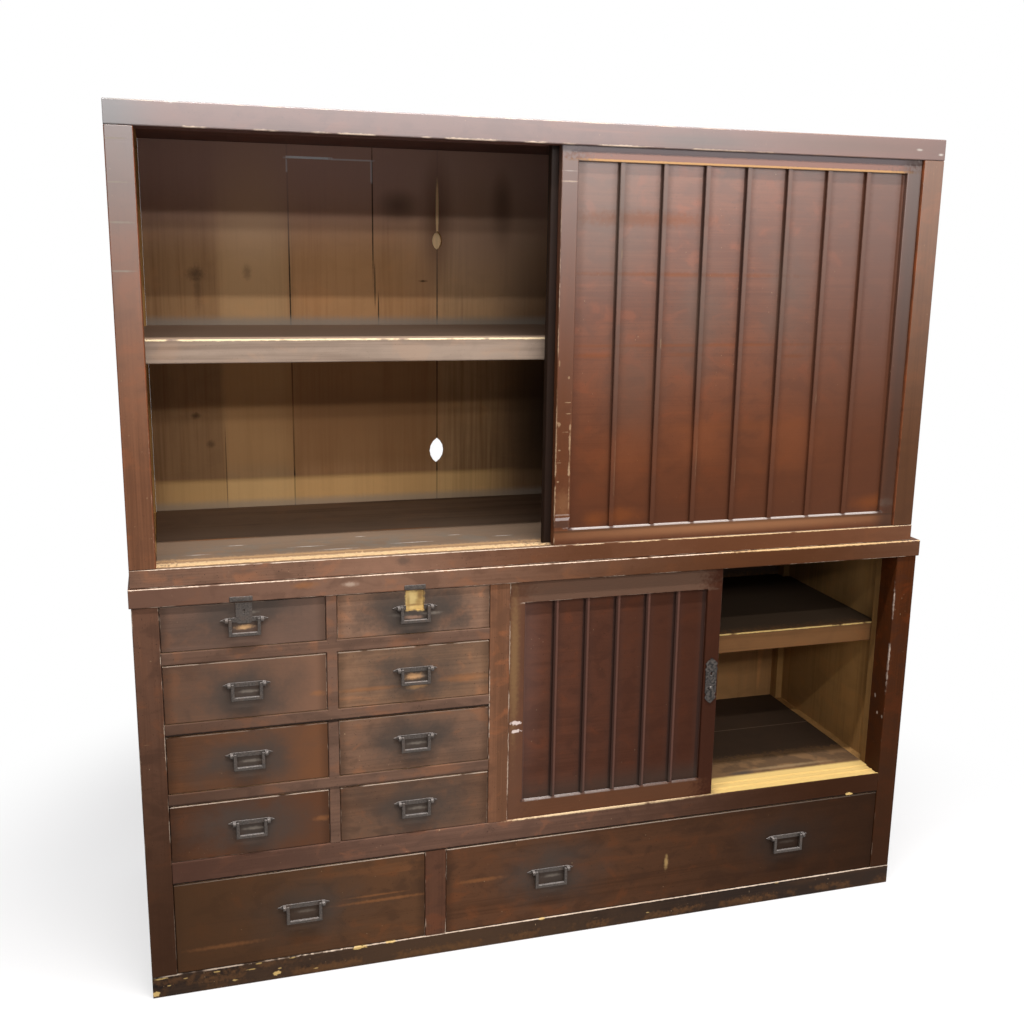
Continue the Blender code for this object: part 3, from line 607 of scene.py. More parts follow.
    def _finish(self, surface: Surface) -> None:
        """Feed what was painted to the shader.

        Args:
            surface: What has been painted.
        """
        graph, shader = surface.graph, surface.graph.shader
        graph.feed(shader.inputs["Base Color"], surface.colour)
        graph.feed(shader.inputs["Roughness"], surface.roughness)
        shader.inputs["Specular IOR Level"].default_value = self.gloss
        if self.coat:
            sheen = graph.z.ramp(*SHEEN_RISE, 0.0, self.coat) * surface.cover
            graph.feed(shader.inputs["Coat Weight"], sheen)
            shader.inputs["Coat Roughness"].default_value = COAT_ROUGHNESS
            shader.inputs["Coat IOR"].default_value = COAT_IOR
        graph.bump(surface.height, *GRAIN_BUMP)


@dataclass(frozen=True)
class Iron:
    """Dark forged iron with brown rust in its hollows."""

    name: str
    face: Colour
    rust: Colour
    metallic: float
    roughness: float
    dimmed: float = 0.55
    pits: float = 300.0

    def paint(self) -> bpy.types.Material:
        """Make the material, one for all pieces that wear it.

        Returns:
            The material.
        """
        graph = Graph(self.name)
        pitted = graph.noise(graph.scaled(graph.place, (self.pits,) * 3), detail=3.0)
        blotch = graph.noise(graph.scaled(graph.place, RUST_SCALE), detail=3.0)
        dim = tuple(self.dimmed * part for part in self.face)
        colour = graph.mixed(pitted.ramp(0.35, 0.65), dim, self.face)
        colour = graph.mixed(blotch.ramp(0.48, 0.72, 0.0, 0.7), colour, self.rust)
        sockets = graph.shader.inputs
        graph.feed(sockets["Base Color"], colour)
        graph.feed(sockets["Roughness"], pitted.ramp(0.3, 0.7, self.roughness + 0.1, self.roughness))
        graph.feed(sockets["Metallic"], blotch.ramp(0.45, 0.75, self.metallic, 0.3 * self.metallic))
        graph.bump(pitted, *IRON_BUMP)
        return graph.material


FORGED = Iron(
    "forged_iron",
    face=(0.088, 0.070, 0.059),
    rust=(0.074, 0.046, 0.031),
    metallic=0.45,
    roughness=0.48,
)
# Painted highlight: brighter iron for the faces that look up.
TOP_HIGHLIGHT_IRON = Iron(
    "top_highlight_iron",
    face=(0.400, 0.355, 0.330),
    rust=(0.190, 0.150, 0.125),
    metallic=0.5,
    roughness=0.42,
)
PITTED = replace(
    FORGED,
    name="pitted_iron",
    face=(0.078, 0.063, 0.054),
    rust=(0.014, 0.010, 0.008),
    dimmed=0.10,
    pits=170.0,
)
LACQUER = Timber(
    deep=(0.118, 0.035, 0.014),
    body=(0.172, 0.055, 0.023),
    warm=(0.280, 0.090, 0.030),
    bare=(0.560, 0.380, 0.220),
    coat=1.0,
    nicks=0.5,
)
PLAIN_LACQUER = replace(LACQUER, coat=0.0, streaks=0.4, nicks=0.6, gloss=0.03, mottle=1.0)
BOARD_LACQUER = replace(PLAIN_LACQUER, mottle=0.35, nicks=0.4)
PLINTH = replace(
    LACQUER,
    deep=(0.010, 0.007, 0.006),
    body=(0.030, 0.017, 0.011),
    warm=(0.110, 0.052, 0.024),
    streaks=0.9,
    nicks=1.0,
    coat=0.0,
)
CEDAR = Timber(
    deep=(0.260, 0.135, 0.058),
    body=(0.440, 0.250, 0.115),
    warm=(0.480, 0.250, 0.100),
    bare=(0.600, 0.420, 0.200),
    roughness=0.72,
    mottle=0.3,
    nicks=0.0,
    stretch=1.6,
)
SHELF_WOOD = replace(
    CEDAR, deep=(0.190, 0.132, 0.098), body=(0.315, 0.232, 0.176), warm=(0.400, 0.270, 0.180)
)
FLOOR_WOOD = replace(
    CEDAR, deep=(0.075, 0.042, 0.024), body=(0.150, 0.090, 0.055), warm=(0.260, 0.150, 0.075)
)
END_WOOD = CEDAR.tinted((0.400, 0.212, 0.072))
RUNNER_WOOD = CEDAR.tinted((0.300, 0.175, 0.080))
STRAW = (0.740, 0.500, 0.185)
PALE = (0.740, 0.575, 0.440)
CHALK = (0.620, 0.560, 0.500)
DUST = (0.250, 0.210, 0.170)
GOLD = (0.520, 0.290, 0.125)
ORANGE = (0.330, 0.130, 0.045)
DARK = (0.012, 0.008, 0.006)
GRIME = (0.062, 0.050, 0.042)


def deselect() -> None:
    """Leave nothing selected."""
    if bpy.context.object and bpy.context.object.mode != "OBJECT":
        bpy.ops.object.mode_set(mode="OBJECT")
    bpy.ops.object.select_all(action="DESELECT")


def make_active(piece: bpy.types.Object) -> None:
    """Select one piece alone and make it active.

    Args:
        piece: The piece.
    """
    deselect()
    piece.select_set(True)
    bpy.context.view_layer.objects.active = piece


def body_of(node: str) -> str:
    """The name of the body that a CAD node rides on."""
    return frame["nodes"][node]["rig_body"]


def report(piece: bpy.types.Object) -> None:
    """Log a finished piece."""
    LOG.info("%s: %d faces", piece.name, len(piece.data.polygons))


def ease_arrises(piece: bpy.types.Object, arris: float) -> None:
    """Take back every sharp arris of the active piece.

    Args:
        piece: The piece.
        arris: How far each arris is taken back.
    """
    ease = piece.modifiers.new("ease", "BEVEL")
    ease.width = arris
    ease.segments = 2
    ease.limit_method = "ANGLE"
    ease.angle_limit = ARRIS_FROM
    bpy.ops.object.modifier_apply(modifier=ease.name)


def finer(node: str, arris: float) -> bpy.types.Object:
    """A copy of a CAD node with its faces merged and every arris eased.

    Args:
        node: The CAD node, which the copy then stands for.
        arris: How far each arris is taken back.

    Returns:
        The new piece, riding on the node's body.
    """
    source = frame["nodes"][node]
    piece = bpy.data.objects.new(f"{node}_fine", source.data.copy())
    bpy.context.scene.collection.objects.link(piece)
    make_active(piece)
    bpy.ops.object.mode_set(mode="EDIT")
    bpy.ops.mesh.select_all(action="SELECT")
    bpy.ops.mesh.remove_doubles(threshold=MERGE_WITHIN)
    bpy.ops.mesh.dissolve_limited(angle_limit=FLAT_WITHIN)
    bpy.ops.object.mode_set(mode="OBJECT")
    ease_arrises(piece, arris)
    bpy.ops.object.shade_smooth_by_angle(angle=SMOOTH_BELOW)
    flat = piece.modifiers.new("flat", "WEIGHTED_NORMAL")
    flat.keep_sharp = True
    bpy.ops.object.modifier_apply(modifier=flat.name)
    piece.data.materials.clear()
    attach(piece, body_of(node))
    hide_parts(node)
    source.material_slots[0].material.name if source.material_slots else "dark_lacquered_wood"
    report(piece)
    return piece


def dress(piece: bpy.types.Object, *materials: bpy.types.Material) -> None:
    """Give a piece its materials in slot order."""
    for material in materials:
        piece.data.materials.append(material)


def second_where(piece: bpy.types.Object, test: Callable[[bpy.types.MeshPolygon], bool]) -> None:
    """Give the faces that pass a test the piece's second material.

    Args:
        piece: The piece, with both its materials.
        test: Whether a face takes the second one.
    """
    for face in piece.data.polygons:
        face.material_index = int(test(face))


def off_front(face: bpy.types.MeshPolygon) -> bool:
    """Whether a face of a case rail lies behind its front face."""
    return face.center.y > FRONT + FRONT_SKIN


def off_face(face: bpy.types.MeshPolygon) -> bool:
    """Whether a face looks anywhere but straight ahead."""
    return face.normal.y > STRAIGHT


def deep_inside(face: bpy.types.MeshPolygon) -> bool:
    """Whether a face lies well behind the fronts."""
    return face.center.y > FRONT + INSIDE_FROM


def off_drawer_front(face: bpy.types.MeshPolygon) -> bool:
    """Whether a face of a drawer lies behind its front face."""
    return face.center.y >= DRAWER_FACE + DRAWER_SKIN


def off_boards(face: bpy.types.MeshPolygon) -> bool:
    """Whether a face of the back boards looks anywhere but into the case."""
    return face.normal.y > MOSTLY


def dress_end(node: str, arris: float, seed: float) -> None:
    """Dress a framed end, lacquered outside and bare inside.

    Args:
        node: The end's CAD node.
        arris: How far each arris is taken back.
        seed: A number that sets its own grain.
    """
    low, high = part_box(node)
    out = -1.0 if "left" in node else 1.0
    middle = low.x + END_MIDDLE if out > 0.0 else high.x - END_MIDDLE
    piece = finer(node, arris)
    # Painted shade: the inside of the end darkens towards the front.
    painted_shade = shade((0, FRONT, 0), (0, 0.085, 0), (0.060, 0.030, 0.012), 0.95)
    bare = END_WOOD.paint(f"{node}_inside", Axis.Z, seed, (painted_shade,))
    dress(piece, bare, BOARD_LACQUER.paint(node, Axis.Z, seed))

    def outside(face: bpy.types.MeshPolygon) -> bool:
        """Whether a face of the end lies on its outer half and doesn't look into the case."""
        return face.normal.x * out > MOSTLY and (face.center.x - middle) * out > 0.0

    second_where(piece, outside)


def cuboid(name: str, centre: Triple, size: Triple) -> bpy.types.Object:
    """A block with its place and size applied.

    Args:
        name: The piece's name.
        centre: Its middle.
        size: Its length along each axis.

    Returns:
        The block, active and alone selected.
    """
    deselect()
    bpy.ops.mesh.primitive_cube_add(size=1.0, location=centre)
    piece = bpy.context.object
    piece.name = name
    piece.scale = size
    bpy.ops.object.transform_apply(location=True, rotation=False, scale=True)
    return piece


def edge_x(y: float, z: float, reach: float = 0.0014, amount: float = 0.75, broken: float = 0.52) -> Patch:
    """A worn arris that runs across the cabinet."""
    return Patch((0, y, z), (0, reach, reach), PALE, amount, ragged=0.7, broken=broken)


def edge_z(x: float, y: float, reach: float = 0.0014, amount: float = 0.75, broken: float = 0.52) -> Patch:
    """A worn arris that runs up the cabinet."""
    return Patch((x, y, 0), (reach, reach, 0), PALE, amount, ragged=0.7, broken=broken)


def stroke(x: float, z: float, wide: float, high: float, colour: Colour, amount: float = 0.8) -> Patch:
    """A short mark on a front face."""
    return Patch((x, FRONT, z), (wide / 2, FACE_DEPTH, high / 2), colour, amount, ragged=0.8, soft=0.7)


def chip(x: float, z: float, wide: float, high: float, colour: Colour, amount: float = 0.85) -> Patch:
    """A sharp ragged chip in a front face."""
    return Patch((x, FRONT, z), (wide / 2, FACE_DEPTH, high / 2), colour, amount, ragged=1.1, soft=0.25)


def streak(centre: Triple, radii: Triple, colour: Colour, amount: float) -> Patch:
    """A soft streak on any face."""
    return Patch(centre, radii, colour, amount, ragged=0.7, soft=0.8)


def shade(centre: Triple, radii: Triple, colour: Colour, amount: float) -> Patch:
    """A wide soft change of colour that keeps the finish's gloss, used for stains and for painted light and
    shade.
    """
    return Patch(centre, radii, colour, amount, ragged=0.06, soft=0.95, roughness=0.45)


def smudge(centre: Triple, radii: Triple, colour: Colour, amount: float) -> Patch:
    """A soft blotch with an uneven outline."""
    return replace(shade(centre, radii, colour, amount), ragged=0.25, blotch=0.9)


def worn(centre: Triple, radii: Triple, colour: Colour, broken: float) -> Patch:
    """A wide ragged patch that is worn through in places."""
    return Patch(centre, radii, colour, 0.6, ragged=0.9, soft=0.6, broken=broken)


def strip(centre: Triple, radii: Triple, colour: Colour, amount: float, ragged: float = 0.2) -> Patch:
    """A straight-edged strip."""
    return Patch(centre, radii, colour, amount, ragged=ragged, soft=0.15, square=True)


@dataclass
class UpperCase:
    """The upper case: its frame, its back boards, floor and shelf."""

    arris: float = 0.0012
    seed: float = 1.0
    board_lines: Triple = (-0.656, -0.498, -0.150)
    dark_board: Colour = (0.190, 0.098, 0.048)
    light_board: Colour = (0.420, 0.255, 0.125)
    ruddy_board: Colour = (0.400, 0.190, 0.080)
    stain: Colour = (0.060, 0.034, 0.020)
    daylight: Colour = (0.90, 0.95, 1.00)
    gap: Colour = (0.026, 0.016, 0.011)
    worn_edge: Colour = (0.620, 0.420, 0.220)
    floor_scratches: tuple[Triple, ...] = (
        (-0.66, -0.110, 0.05),
        (-0.52, -0.150, 0.09),
        (-0.40, -0.090, 0.03),
        (-0.30, -0.165, 0.12),
        (-0.20, -0.120, 0.04),
        (-0.10, -0.150, 0.06),
        (-0.74, -0.170, 0.06),
        (-0.46, -0.185, 0.10),
    )
    lit_end: float = 0.02
    slip_size: Triple = (0.050, 0.0012, 0.130)
    slip_height: float = 1.535
    slip_arris: float = 0.0003
    post_scratches: tuple[tuple[float, float], ...] = (
        (-0.854, 1.694),
        (-0.852, 1.620),
        (-0.849, 1.551),
        (-0.850, 1.466),
    )

    def build(self) -> None:
        """Make and dress every piece of the upper case."""
        self._top()
        self._posts()
        self._ends()
        self._back()
        self._floor()
        self._shelf()

    def _top(self) -> None:
        """The top board with its head rail."""
        low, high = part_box("upper_top")
        marks = (
            edge_x(FRONT, low.z, 0.0030, 0.9, 0.50),
            edge_x(FRONT, high.z, 0.0020, 0.6, 0.5),
            shade((low.x, 0, 0), (0.060, 0, 0), (0.080, 0.078, 0.078), 0.8),
            shade((high.x, 0, 0), (0.045, 0, 0), (0.040, 0.034, 0.028), 0.7),
            # Painted sheen: the head rail is lighter towards the right.
            shade((0.71, 0, 0), (0.37, 0, 0), (0.165, 0.078, 0.058), 0.8),
            stroke(-0.751, high.z, 0.022, 0.006, CHALK),
            stroke(0.784, 1.737, 0.012, 0.004, CHALK),
            stroke(0.838, 1.729, 0.010, 0.004, CHALK),
            shade((0.269, 0, 1.734), (0.10, 0, 0.012), (0.07, 0.06, 0.05), 0.5),
            shade((0.62, 0, 1.740), (0.16, 0, 0.012), (0.09, 0.05, 0.03), 0.4),
        )
        stain = (0.137, 0.067, 0.053)
        rail = LACQUER.tinted(stain).paint("upper_top", Axis.X, self.seed, marks)
        board = BOARD_LACQUER.tinted(stain).paint("upper_top_board", Axis.X, self.seed)
        piece = finer("upper_top", self.arris)
        dress(piece, rail, board)
        second_where(piece, off_front)

    def _posts(self) -> None:
        """The two front posts."""
        stains = {"left": (0.178, 0.074, 0.037), "right": (0.190, 0.077, 0.032)}
        for side, stain in stains.items():
            node = f"upper_{side}_post"
            low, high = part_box(node)
            marks = [edge_z(low.x, FRONT, broken=0.57), edge_z(high.x, FRONT, 0.0016, 0.7, 0.56)]
            if side == "left":
                # Painted sheen: the left post is greyer towards its top.
                marks.append(shade((0, 0, 1.78), (0, 0, 0.24), (0.090, 0.060, 0.052), 0.85))
                marks += [stroke(x, z, 0.040, 0.003, DUST) for x, z in self.post_scratches]
            else:
                # Painted shade: the right post darkens towards its foot.
                marks.append(shade((0, 0, 0.90), (0, 0, 0.50), (0.062, 0.027, 0.014), 0.8))
            piece = finer(node, self.arris)
            ahead = LACQUER.tinted(stain).paint(node, Axis.Z, self.seed + low.x, marks)
            dress(piece, ahead, PLAIN_LACQUER.paint(f"{node}_flank", Axis.Z, self.seed + low.x))
            second_where(piece, off_face)

    def _ends(self) -> None:
        """The framed ends."""
        for side in ("left", "right"):
            node = f"upper_{side}_side"
            dress_end(node, self.arris, self.seed + len(node))

    def _back(self) -> None:
        """The bare back boards with their joints, knots, stains and dust."""
        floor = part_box("upper_floor")[1].z
        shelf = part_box("upper_shelf")[1].z
        left, right = (corner.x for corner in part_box("upper_back"))
        first, second, third = self.board_lines
        boards = (
            (left, first, self.dark_board, 0.45),
            (first, second, self.light_board, 0.55),
            (second, third, self.ruddy_board, 0.50),
            (self.lit_end, right, self.dark_board, 0.60),
        )
        marks = []
        for a, b, colour, amount in boards:
            marks.append(strip(((a + b) / 2, 0, 0), ((b - a) / 2, 0, 0), colour, amount, 0.01))
        joints = [Patch((x, 0, 0), (0.0016, 0, 0), self.gap, 0.95, ragged=0.3) for x in (second, third)]
        marks += joints
        # Painted light: the tops of the boards, in the head rail's shadow, are lightened and cooled.
        marks.append(shade((0, 0, 1.72), (0, 0, 0.13), (0.560, 0.360, 0.310), 0.8))
        # Under the shelf: the second board lighter, painted shade on the third board, and a painted pool of
        # light along the foot of the boards, where light reaches past the shelf's shadow.
        lower_tones_and_light = (
            (first, second, 1.16, 0.155, (0.520, 0.260, 0.090), 0.35),
            (second, third, 1.16, 0.155, (0.260, 0.120, 0.045), 0.40),
            (left, self.lit_end, 0.945, 0.034, (0.750, 0.460, 0.170), 0.38),
        )
        for a, b, z, tall, colour, amount in lower_tones_and_light:
            marks.append(strip(((a + b) / 2, 0, z), ((b - a) / 2, 0, tall), colour, amount, 0.01))
        marks += self._flaws()
        marks += [
            Patch((0, 0, shelf), (0, 0, 0.016), DUST, 0.8, ragged=0.3, soft=0.7),
            Patch((0, 0, floor), (0, 0, 0.014), DUST, 0.6, ragged=0.3, soft=0.7),
        ]
        piece = finer("upper_back", BOARD_ARRIS)
        inside = CEDAR.paint("upper_back", Axis.Z, self.seed + 5, marks)
        dress(piece, inside, CEDAR.paint("upper_back_rear", Axis.Z, self.seed + 5, joints))
        second_where(piece, off_boards)
        self._slip()

    def _slip(self) -> None:
        """A thin pale slip on the boards' rear, seen through the high knot hole."""
        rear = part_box("upper_back")[1].y
        thick = self.slip_size[1]
        place = (self.board_lines[2], rear + thick / 2, self.slip_height)
        slip = cuboid("knot_slip", place, self.slip_size)
        ease_arrises(slip, self.slip_arris)
        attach(slip, "case")
        # Painted light: the slip is nearly white, so that it looks lit through the knot hole.
        pale = CEDAR.tinted((0.980, 0.690, 0.380)).paint("knot_slip", Axis.Z, self.seed + 8)
        dress(slip, pale, CEDAR.paint("knot_slip_rear", Axis.Z, self.seed + 8))
        second_where(slip, off_boards)
        report(slip)

    def _flaws(self) -> list[Patch]:
        """Cracks, knots, stains, slits of daylight, painted light and a painted shadow in the back boards.

        Returns:
            The marks, in order.
        """
        crack = [
            Patch((-0.304, 0, 1.60), (0.0016, 0, 0.16), self.gap, 0.9, ragged=0.2),
            Patch((-0.300, 0, 1.43), (0.0014, 0, 0.05), self.gap, 0.9, ragged=0.2),
            Patch((-0.292, 0, 1.37), (0.0014, 0, 0.04), self.gap, 0.9, ragged=0.2),
            Patch((self.board_lines[0], 0, 1.0), (0.0012, 0, 0.10), self.gap, 0.6, ragged=0.2),
        ]
        knots = [
            streak((-0.709, 0, 1.452), (0.016, 0, 0.012), self.stain, 0.6),
            streak((-0.704, 0, 1.420), (0.007, 0, 0.045), self.stain, 0.35),
            streak((-0.594, 0, 1.457), (0.008, 0, 0.014), self.stain, 0.4),
            streak((-0.184, 0, 1.440), (0.008, 0, 0.002), DARK, 0.8),
            streak((-0.720, 0, 1.130), (0.008, 0, 0.006), DARK, 0.6),
            streak((-0.689, 0, 1.063), (0.008, 0, 0.007), self.stain, 0.5),
        ]
        stains = [
            shade((0.009, 0, 1.604), (0.020, 0, 0.06), self.stain, 0.7),
            # Painted shadow: the far right of the lower bay, where the rear door shades it.
            shade((0.14, 0, 1.12), (0.10, 0, 0.22), (0.045, 0.028, 0.018), 0.9),
            shade((-0.33, 0, 1.13), (0.20, 0, 0.05), (0.260, 0.125, 0.050), 0.7),
            shade((-0.05, 0, 1.56), (0.09, 0, 0.08), (0.420, 0.250, 0.170), 0.55),
            shade((-0.241, 0, 1.612), (0.035, 0, 0.025), self.stain, 0.6),
            shade((-0.150, 0, 1.575), (0.028, 0, 0.10), (0.110, 0.042, 0.022), 0.65),
        ]
        # Painted light: patches of the upper boards are lightened.
        painted_light_patches = [
            shade((-0.06, 0, 1.55), (0.12, 0, 0.15), (0.700, 0.450, 0.280), 0.42),
            shade((0.08, 0, 1.55), (0.08, 0, 0.17), (0.560, 0.370, 0.250), 0.35),
            shade((-0.58, 0, 1.60), (0.07, 0, 0.10), (0.680, 0.440, 0.260), 0.40),
        ]
        slits = [
            strip((-0.450, 0, 1.7125), (0.050, 0, 0.0026), self.daylight, 1.0),
            strip((-0.352, 0, 1.7110), (0.050, 0, 0.0018), self.daylight, 0.55),
            strip((-0.499, 0, 1.694), (0.0018, 0, 0.014), self.daylight, 0.5),
            strip((-0.306, 0, 1.686), (0.0022, 0, 0.024), self.daylight, 0.45),
            Patch((-0.150, 0, 1.605), (0.0034, 0, 0.065), (0.90, 0.62, 0.32), 1.0, ragged=0.15),
        ]
        return painted_light_patches + crack + knots + stains + slits

    def _floor(self) -> None:
        """The floor, bare and worn at its grooves, with the lacquered sill in front."""
        low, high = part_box("upper_floor")
        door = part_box("upper_front_door_frame")[0].x
        middle = (CASE_LEFT + door) / 2
        half = (door - CASE_LEFT) / 2
        scratches = []
        for x, y, wide in self.floor_scratches:
            scratches.append(streak((x, y, high.z), (0.3 * wide, 0.0022, 0.003), CHALK, 0.6))
        marks = (
            # Painted light: the front of the floor is lighter, where light falls in under the shelf.
            shade((0, -0.13, high.z), (0, 0.13, 0.010), (0.220, 0.158, 0.112), 0.5),
            streak((-0.70, -0.045, high.z), (0.07, 0.006, 0.003), ORANGE, 0.7),
            streak((-0.30, -0.040, high.z), (0.08, 0.006, 0.003), ORANGE, 0.7),
            worn((middle, -0.15, high.z), (half, 0.06, 0.004), (0.140, 0.118, 0.094), 0.52),
            *scratches,
            strip((middle, -0.226, high.z), (half, 0.030, 0.006), (0.300, 0.185, 0.100), 0.85, 0.5),
            strip((middle, -0.234, high.z), (half, 0.012, 0.006), (0.640, 0.440, 0.240), 0.85, 0.7),
            strip((middle, -0.213, high.z), (half, 0.003, 0.006), (0.430, 0.250, 0.115), 0.7, 0.9),
        )
        wood = FLOOR_WOOD.paint("upper_floor", Axis.X, self.seed + 6, marks)
        marks = (
            # Painted shade and sheen: the sill darkens towards the right and in the door's shadow, and is
            # lighter left of the middle, where the sheen is brightest.
            shade((0.50, 0, 0), (0.55, 0, 0), (0.130, 0.047, 0.020), 0.9),
            shade((0.03, 0, 0), (0.16, 0, 0), (0.085, 0.028, 0.010), 0.6),
            shade((0.38, 0, 0), (0.12, 0, 0), (0.085, 0.028, 0.010), 0.4),
            shade((-0.38, 0, 0), (0.09, 0, 0), (0.300, 0.160, 0.102), 0.55),
            streak((-0.78, 0, 0.893), (0.030, 0, 0.006), GRIME, 0.25),
            streak((-0.66, 0, 0.896), (0.016, 0, 0.005), GRIME, 0.35),
            stroke(-0.341, 0.898, 0.025, 0.018, GRIME, 0.5),
            edge_x(FRONT, high.z, 0.0017, 0.95, 0.42),
            Patch((0.45, FRONT, high.z), (0.45, 0.0035, 0.0026), self.worn_edge, 0.85, 0.7, broken=0.40),
            edge_x(FRONT, low.z, 0.0015, 0.9, 0.46),
        )
        stain = PLAIN_LACQUER.tinted((0.205, 0.108, 0.069))
        stained = stain.paint("upper_sill", Axis.X, self.seed + 9, marks)
        piece = finer("upper_floor", self.arris)
        dress(piece, stained, wood)
        second_where(piece, off_front)

    def _shelf(self) -> None:
        """The shelf, dusty behind, with its grey front rail."""
        low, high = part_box("upper_shelf")
        marks = (
            strip((0, 0.05, high.z), (0, 0.215, 0.003), (0.300, 0.202, 0.140), 0.9),
            Patch((0, low.y, high.z), (0, 0.004, 0.003), (0.85, 0.66, 0.40), 0.9, ragged=0.5, broken=0.40),
        )
        wood = SHELF_WOOD.paint("upper_shelf", Axis.X, self.seed + 7, marks)
        dress(finer("upper_shelf", self.arris), wood)


@dataclass
class LowerCase:
    """The lower case: its frame, rails, partition, cupboard and plinth."""

    arris: float = 0.0012
    seed: float = 11.0
    chips: tuple[tuple[float, float, float, float], ...] = (
        (-0.618, 0.015, 0.016, 0.009),
        (-0.612, 0.025, 0.010, 0.004),
        (-0.441, 0.045, 0.026, 0.008),
        (-0.374, 0.047, 0.020, 0.006),
        (-0.704, 0.014, 0.012, 0.004),
        (-0.030, 0.046, 0.014, 0.005),
        (-0.862, 0.010, 0.016, 0.010),
        (-0.850, 0.043, 0.022, 0.004),
        (-0.836, 0.025, 0.008, 0.003),
        (-0.802, 0.036, 0.010, 0.003),
        (-0.741, 0.040, 0.016, 0.003),
        (-0.672, 0.033, 0.018, 0.003),
        (-0.655, 0.044, 0.014, 0.004),
        (-0.584, 0.045, 0.012, 0.003),
        (-0.536, 0.012, 0.010, 0.003),
        (0.228, 0.020, 0.010, 0.003),
        (0.560, 0.045, 0.012, 0.003),
    )
    dark_gaps: tuple[tuple[str, float], ...] = (("left_drawer_3", 0.85), ("left_drawer_4", 0.45))
    gap_middle: float = 0.0035
    big_chip: float = 0.0045
    scuff: Colour = (0.120, 0.056, 0.023)
    foot_scuff: Colour = (0.085, 0.040, 0.017)
    worn_edge: Colour = (0.620, 0.400, 0.190)
    speck: Colour = (0.420, 0.330, 0.270)
    flank_chips: tuple[tuple[float, float], ...] = ((-0.228, 0.482), (-0.242, 0.443), (-0.262, 0.439))
    sill: Colour = (0.650, 0.440, 0.160)
    scuffs: tuple[Triple, ...] = (
        (-0.80, 0.036, 0.06),
        (-0.72, 0.024, 0.07),
        (-0.64, 0.038, 0.06),
        (-0.52, 0.012, 0.09),
        (-0.40, 0.010, 0.12),
        (-0.22, 0.012, 0.10),
        (-0.02, 0.014, 0.12),
        (0.20, 0.012, 0.10),
        (0.42, 0.012, 0.12),
        (0.68, 0.014, 0.12),
    )

    def build(self) -> None:
        """Make and dress every piece of the lower case."""
        self._posts()
        self._ends()
        self._rails()
        self._cupboard()
        self._plinth()

    def _posts(self) -> None:
        """The front posts and the dividers between the fronts."""
        stains = {
            "lower_left_post": (0.125, 0.060, 0.037),
            "lower_right_post": (0.076, 0.021, 0.006),
            "centre_partition": (0.200, 0.090, 0.048),
            "bottom_divider": (0.105, 0.046, 0.027),
        }
        foot = shade((0, 0, 0.05), (0, 0, 0.42), (0.036, 0.015, 0.007), 0.85)
        runners = RUNNER_WOOD.paint("partition_wood", Axis.Y, self.seed)
        for node, stain in stains.items():
            low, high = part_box(node)
            marks = [edge_z(low.x, low.y, broken=0.56), edge_z(high.x, low.y, broken=0.54)]
            if node.endswith("_post"):
                marks.append(foot)
            if node == "lower_right_post":
                arris = (low.x, FRONT, 0.62)
                marks.append(Patch(arris, (0.0022, 0.004, 0.20), self.speck, 0.6, ragged=1.3, broken=0.50))
                for y, z in self.flank_chips:
                    marks.append(Patch((low.x, y, z), (0.004, 0.003, 0.004), self.speck, 0.7, ragged=1.0))
            piece = finer(node, self.arris)
            ahead = PLAIN_LACQUER.tinted(stain).paint(node, Axis.Z, self.seed + len(node), marks)
            dress(piece, ahead, runners)
            second_where(piece, deep_inside)

    def _ends(self) -> None:
        """The framed ends."""
        dress_end("lower_left_side", self.arris, self.seed)
        dress_end("lower_right_side", self.arris, self.seed + 1)

    def _rails(self) -> None:
        """The top, the middle rail and the rails between the drawers."""
        low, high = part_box("lower_top")
        marks = (
            # Painted shade: the rail darkens towards both ends, away from the brightest sheen, which its
            # stain is set to.
            shade((-0.92, 0, 0), (0.36, 0, 0), (0.120, 0.060, 0.040), 0.9),
            shade((0.48, 0, 0), (0.60, 0, 0), (0.080, 0.027, 0.0095), 0.95),
            edge_x(low.y, high.z, 0.0016, 0.95, 0.40),
            Patch((0.62, low.y, high.z), (0.26, 0.004, 0.0034), self.worn_edge, 0.9, 0.7, broken=0.36),
            edge_x(low.y, low.z, broken=0.56),
            streak((-0.54, 0, 0.862), (0.022, 0, 0.006), ORANGE, 0.5),
            streak((-0.45, 0, 0.858), (0.012, 0, 0.004), PALE, 0.35),
        )
        finish = PLAIN_LACQUER.tinted((0.245, 0.136, 0.090))
        dress(finer("lower_top", self.arris), finish.paint("lower_top", Axis.X, self.seed + 3, marks))
        self._middle_rail()
        finish = PLAIN_LACQUER.tinted((0.165, 0.092, 0.062))
        piece = finer("drawer_bank", BOARD_ARRIS)
        runners = RUNNER_WOOD.paint("runner_wood", Axis.Y, self.seed + 5)
        # Painted shade: the rails of the left column darken towards the lower left.
        marks = [shade((-0.86, 0, 0.45), (0.22, 0, 0.24), (0.055, 0.028, 0.018), 0.8)]
        for node, amount in self.dark_gaps:
            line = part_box(node)[1].z + self.gap_middle
            marks.append(Patch((0, FRONT, line), (0, FACE_DEPTH, 0.0032), DARK, amount, ragged=0.4))
        dress(piece, finish.paint("drawer_bank", Axis.X, self.seed + 5, marks), runners)
        second_where(piece, deep_inside)

